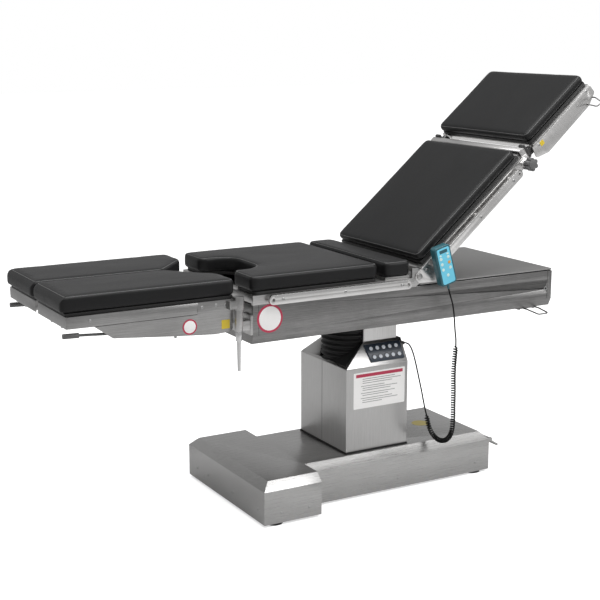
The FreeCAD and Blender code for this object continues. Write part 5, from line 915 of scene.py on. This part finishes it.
def seam_line(name, obj, height):
    """A thin welt round the pad at one height, along the pad's own surface, pale grey as a painted highlight."""
    work = bmesh.new()
    work.from_mesh(obj.data)
    cut = bmesh.ops.bisect_plane(work, geom=work.verts[:] + work.edges[:] + work.faces[:],
                                 plane_co=(0, 0, height * mm), plane_no=(0, 0, 1), dist=1e-7)
    linked = {}
    for edge in (g for g in cut["geom_cut"] if isinstance(g, bmesh.types.BMEdge)):
        for vert in edge.verts:
            linked.setdefault(vert, []).append(edge)
    chain = [next(iter(linked))]
    used = set()
    follow = linked[chain[0]]
    while follow:
        used.add(follow[0])
        chain.append(follow[0].other_vert(chain[-1]))
        follow = [e for e in linked[chain[-1]] if e not in used]
    points = [v.co.copy() for v in chain[:-1]]
    work.free()
    return add_object(name, ring_tube(name, points[::2], SEAM_RADIUS), "welt_painted_highlight")


def ring_tube(name, points, radius):
    """A closed tube round a flat ring of points."""
    work = bmesh.new()
    rings = []
    up = Vector((0, 0, 1))
    for i, point in enumerate(points):
        out = (points[(i + 1) % len(points)] - points[i - 1]).cross(up).normalized()
        rings.append([work.verts.new(point + (out * c + up * s) * radius * mm) for c, s in circle(SEAM_SIDES)])
    skin(work, rings, closed=True)
    mesh = mesh_of(name, work)
    smooth_all(mesh)
    return mesh


def box_corners(low, high, radius=PAD_CORNER, inset=0.0):
    x0, y0, x1, y1 = low[0] + inset, low[1] + inset, high[0] - inset, high[1] - inset
    return [(x0, y0, radius), (x1, y0, radius), (x1, y1, radius), (x0, y1, radius)]


def leg_corners(low, high, sign, inset, outer_radius, hip_radius, foot_radius):
    """The outline of the near (-1) or far (1) leg section, its slanted inner hip corner included."""
    foot, hip = low[0] + inset, high[0] - inset
    outer = sign * (max(abs(low[1]), abs(high[1])) - inset)
    inner = sign * (min(abs(low[1]), abs(high[1])) + inset)
    slant = LEG_SLANT * inset
    corners = [(foot, outer, foot_radius), (hip, outer, outer_radius),
               (hip, sign * (LEG_HIP_CORNER_Y + slant), hip_radius),
               (LEG_CROTCH_X - slant, inner, hip_radius), (foot, inner, foot_radius)]
    return corners if sign < 0 else corners[::-1]


def board(name, corners, low, high, matrix, body):
    """The black board under a pad, with softened edges."""
    mesh = slab(name, corners, low + BOARD_GAP, high - BOARD_GAP)
    mesh.transform(matrix)
    round_edges(add_object(name, mesh, "board", body), BOARD_EDGE)


def make_pads():
    """The six pads. The head's and the legs' stand on boards that are part of their CAD nodes."""
    low, high = box_in("seat_pad", DRAWING)
    cut_end = low[0] + SEAT_CUT_DEPTH
    low[0] -= SEAT_OVERHANG
    corners = box_corners(low, high)
    corners += [(low[0], SEAT_CUT_HALF, SEAT_LIP_ROUND), (cut_end, SEAT_CUT_HALF, SEAT_CUT_ROUND),
                (cut_end, -SEAT_CUT_HALF, SEAT_CUT_ROUND), (low[0], -SEAT_CUT_HALF, SEAT_LIP_ROUND)]
    pad("seat_cushion", "seat_pad", corners, low[2], high[2], DRAWING, "table")
    low, high = box_in("kidney_pad", DRAWING)
    pad("kidney_cushion", "kidney_pad", box_corners(low, high), low[2], high[2], DRAWING, "kidney",
        crown=KIDNEY_CROWN)
    low, high = box_in("back_pad", BACK)
    pad("back_cushion", "back_pad", box_corners(low, high), low[2], high[2], BACK, "back")
    low, high = box_in("head_pad", BACK)
    board_top = low[2] + HEAD_BOARD_THICK
    pad("head_cushion", "head_pad", box_corners(low, high), board_top, high[2], BACK, "head")
    board("head_board", box_corners(low, high, BOARD_CORNER, HEAD_BOARD_IN), low[2], board_top, BACK, "head")
    for side, sign in SIDES:
        body = "leg_" + side
        low, high = box_in("leg_pad_" + side, DRAWING)
        board_top = low[2] + LEG_BOARD_THICK
        board("leg_board_" + side, leg_corners(low, high, sign, *LEG_BOARD_OUTLINE), low[2], board_top, DRAWING,
              body)
        low[0] -= LEG_OVERHANG
        pad("leg_cushion_" + side, "leg_pad_" + side, leg_corners(low, high, sign, *LEG_PAD_OUTLINE), board_top,
            high[2], DRAWING, body, foot=(low[0], LEG_FOOT_ROUND))


# The lead: the same route as the CAD solids
LEAD_DIAMETER = 5.0
CURLY_DIAMETER = 18.0
HANDSET_EXIT = (177.88, -287.0, 690.21)
HANDSET_STRAIGHT = (184.29, -287.0, 667.09)
LEAD_FROM_HANDSET = (
    (194.0, -287.0, 645.0), (203.0, -287.0, 600.0), (207.0, -286.5, 552.0), (212.5, -286.5, 519.0))
CURLY_TOP = (212.5, -286.5, 498.0)
CURLY_STRAIGHT = (
    (209.0, -286.5, 457.0), (207.0, -286.5, 430.0), (206.0, -286.0, 392.0), (208.0, -286.5, 342.0),
    (208.0, -286.0, 292.0), (209.5, -286.0, 243.0))
CURLY_TURN_Y = -223.0
CURLY_TURN_Z = 220.0
CURLY_TURN_RADIUS = 63.0
CURLY_TURN_STEP = 30.0
CURLY_TURN_DRIFT = -2.2
LEAD_TO_COLUMN = (
    (194.0, -156.0, 232.0), (189.0, -150.0, 262.0), (182.5, -141.0, 315.0), (174.0, -134.0, 363.0),
    (167.0, -128.0, 405.0), (163.0, -117.0, 440.0), (158.0, -109.0, 461.0), (149.0, -104.5, 474.5))
GLAND_END = (136.0, -103.0, 477.0)
CURL_PITCH = 8.2
CURL_POINTS = 12
# How many turns the curl takes to reach its full radius
CURL_EASE = 1.5
LEAD_SIDES = 8
ROUTE_FINENESS = 4
# The heights where the lead is split into stretches, from the handset down
LEAD_CUTS = (655.0, 600.0, 525.0, 410.0)


def curly_turn():
    """The curl's half turn over the base cover."""
    points = []
    for i in range(round(180 / CURLY_TURN_STEP)):
        turn = math.radians(180 + CURLY_TURN_STEP * (i + 0.5))
        points.append((CURLY_STRAIGHT[-1][0] + CURLY_TURN_DRIFT * (i + 1),
                       CURLY_TURN_Y + CURLY_TURN_RADIUS * math.cos(turn),
                       CURLY_TURN_Z + CURLY_TURN_RADIUS * math.sin(turn)))
    return points


def route_points(points):
    """The points of an open NURBS curve of order 3 through its end points, in metres."""
    curve = bpy.data.curves.new("route", "CURVE")
    curve.dimensions = "3D"
    spline = curve.splines.new("NURBS")
    spline.points.add(len(points) - 1)
    for target, point in zip(spline.points, points):
        target.co = (*point, 1.0)
    spline.order_u = 3
    spline.use_endpoint_u = True
    spline.resolution_u = ROUTE_FINENESS
    obj = bpy.data.objects.new("route", curve)
    bpy.context.scene.collection.objects.link(obj)
    mesh = bpy.data.meshes.new_from_object(obj)
    line = [v.co.copy() for v in mesh.vertices]
    bpy.data.objects.remove(obj)
    bpy.data.meshes.remove(mesh)
    return line


def evenly(line, step):
    """Points along a polyline at even steps, with the way each one points."""
    lengths = [0.0]
    for a, b in zip(line, line[1:]):
        lengths.append(lengths[-1] + (b - a).length)
    count = max(2, round(lengths[-1] / step))
    result = []
    i = 0
    for k in range(count + 1):
        want = lengths[-1] * k / count
        while i < len(line) - 2 and lengths[i + 1] < want:
            i += 1
        share = (want - lengths[i]) / max(lengths[i + 1] - lengths[i], 1e-9)
        result.append((line[i].lerp(line[i + 1], share), (line[i + 1] - line[i]).normalized()))
    return result


def make_lead():
    """The handset's lead: plain, then curly, then plain again up to its gland on the column."""
    first = [at(*p) for p in (HANDSET_EXIT, HANDSET_STRAIGHT) + LEAD_FROM_HANDSET]
    curly = [at(*p) for p in [CURLY_TOP] + list(CURLY_STRAIGHT) + curly_turn() + [LEAD_TO_COLUMN[0]]]
    last = [at(*p) for p in LEAD_TO_COLUMN[1:] + (GLAND_END,)]
    line = evenly(route_points(curly), CURL_PITCH * mm / CURL_POINTS)
    radius = (CURLY_DIAMETER - LEAD_DIAMETER) / 2 * mm
    helix = []
    across = Vector((1, 0, 0))
    ease = CURL_POINTS * CURL_EASE
    for i, (point, along) in enumerate(line):
        across = (across - along * across.dot(along)).normalized()
        turn = 2 * math.pi * i / CURL_POINTS
        grow = min(1.0, i / ease, (len(line) - 1 - i) / ease)
        helix.append(point + (across * math.cos(turn) + along.cross(across) * math.sin(turn)) * radius * grow)
    path = route_points(first + helix + last)
    cuts = [0]
    for low in LEAD_CUTS:
        cuts.append(next(i for i in range(cuts[-1], len(path)) if path[i].z < low * mm))
    cuts.append(len(path) - 1)
    for i, (start, end) in enumerate(zip(cuts, cuts[1:])):
        name = "lead_%d" % (i + 1)
        stretch = path[start:end + 1]
        lead = add_object(name, tube_mesh(name, stretch, LEAD_DIAMETER / 2 * mm), "cord")
        if i == 0:
            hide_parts("cord_handset_lead", "cord_curly", "cord_column_lead")
        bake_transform(lead)


def tube_mesh(name, line, radius):
    """A round tube along the points of a line, closed at both ends."""
    work = bmesh.new()
    rings = []
    across = Vector((1, 0, 0))
    for i, point in enumerate(line):
        along = (line[min(i + 1, len(line) - 1)] - line[max(i - 1, 0)]).normalized()
        across = (across - along * across.dot(along)).normalized()
        beside = along.cross(across)
        rings.append([work.verts.new(point + (across * c + beside * s) * radius)
                      for c, s in circle(LEAD_SIDES)])
    skin(work, rings)
    mesh = mesh_of(name, work)
    smooth_all(mesh)
    return mesh


# Camera, stage and light
CAMERA_REACH = 60.0
FLOOR_HALF = 25.0
FLOOR_DROP = 0.0005
# The floor is white where the camera sees it, and a dimmer one lights the table
FLOOR_SEEN = 0.94
FLOOR_UNSEEN = 0.72
FLOOR_GLOW = 0.62
# The studio's grey by height, from level to overhead: (place in the ramp, level)
STUDIO_LEVELS = ((0.0, 0.50), (0.30, 0.56), (0.55, 0.36), (1.0, 1.00))
LIGHT_TARGET = (0, 0, 600)
# Area lights: (name, place, size in metres, power)
LIGHTS = (("top", (-300, -300, 3300), (2.6, 1.8), 60), ("front", (1900, -2300, 3100), (2.0, 2.0), 60))


def make_camera():
    camera = bpy.data.cameras.new("camera")
    camera.sensor_width = SENSOR_WIDTH
    camera.lens = CAMERA_FOCAL_PIXELS * SENSOR_WIDTH / PHOTO_PIXELS
    camera.clip_end = CAMERA_REACH
    obj = bpy.data.objects.new("camera", camera)
    bpy.context.scene.collection.objects.link(obj)
    obj.location = at(*CAMERA_PLACE)
    obj.rotation_euler = Euler((math.pi / 2 + CAMERA_PITCH, 0.0, -CAMERA_YAW))
    bpy.context.scene.camera = obj


def make_floor():
    work = bmesh.new()
    bmesh.ops.create_grid(work, x_segments=2, y_segments=2, size=FLOOR_HALF)
    floor = add_object("floor", mesh_of("floor", work))
    floor.location.z = -FLOOR_DROP
    tree = Tree("floor")
    tree.put(roughness=0.95, specular_ior_level=0.0, emission_color=(1.0, 1.0, 1.0, 1.0))
    seen = tree.new("ShaderNodeLightPath").outputs["Is Camera Ray"]
    tree.feed("Base Color", tree.ramp(seen, ((0.0, (FLOOR_UNSEEN,) * 3), (1.0, (FLOOR_SEEN,) * 3))))
    tree.feed("Emission Strength", tree.map_range(seen, 0.0, FLOOR_GLOW))
    floor.data.materials.append(tree.material)


def area_light(name, place, target, size, power):
    light = bpy.data.lights.new(name, "AREA")
    light.shape = "RECTANGLE"
    light.size, light.size_y = size
    light.energy = power
    obj = bpy.data.objects.new(name, light)
    bpy.context.scene.collection.objects.link(obj)
    obj.location = place
    obj.rotation_euler = (target - place).to_track_quat("-Z", "Y").to_euler()


def make_world():
    """White where the camera looks, and a dimmer studio, darkest above the horizon, for everything else."""
    world = bpy.data.worlds.new("studio")
    bpy.context.scene.world = world
    world.use_nodes = True
    nodes, links = world.node_tree.nodes, world.node_tree.links
    height = nodes.new("ShaderNodeSeparateXYZ")
    links.new(nodes.new("ShaderNodeTexCoord").outputs["Generated"], height.inputs["Vector"])
    studio = nodes.new("ShaderNodeValToRGB")
    elements = studio.color_ramp.elements
    for place, level in STUDIO_LEVELS:
        element = elements[0] if place == 0.0 else elements[-1] if place == 1.0 else elements.new(place)
        element.color = (level, level, level, 1.0)
    links.new(height.outputs["Z"], studio.inputs["Fac"])
    choose = nodes.new("ShaderNodeMix")
    choose.data_type = "RGBA"
    choose.inputs[7].default_value = (1.0, 1.0, 1.0, 1.0)
    links.new(nodes.new("ShaderNodeLightPath").outputs["Is Camera Ray"], choose.inputs["Factor"])
    links.new(studio.outputs["Color"], choose.inputs[6])
    links.new(choose.outputs[2], nodes["Background"].inputs["Color"])


def make_light():
    make_world()
    for name, place, size, power in LIGHTS:
        area_light(name, at(*place), at(*LIGHT_TARGET), size, power)


def main():
    make_camera()
    make_floor()
    make_light()
    dress_nodes()
    make_pads()
    make_bellows()
    make_handset()
    make_panel_keys()
    make_signs()
    make_screws()
    make_seams()
    make_lead()
    bpy.context.scene.view_settings.view_transform = "Standard"
    bpy.context.scene.view_settings.look = "None"


main()
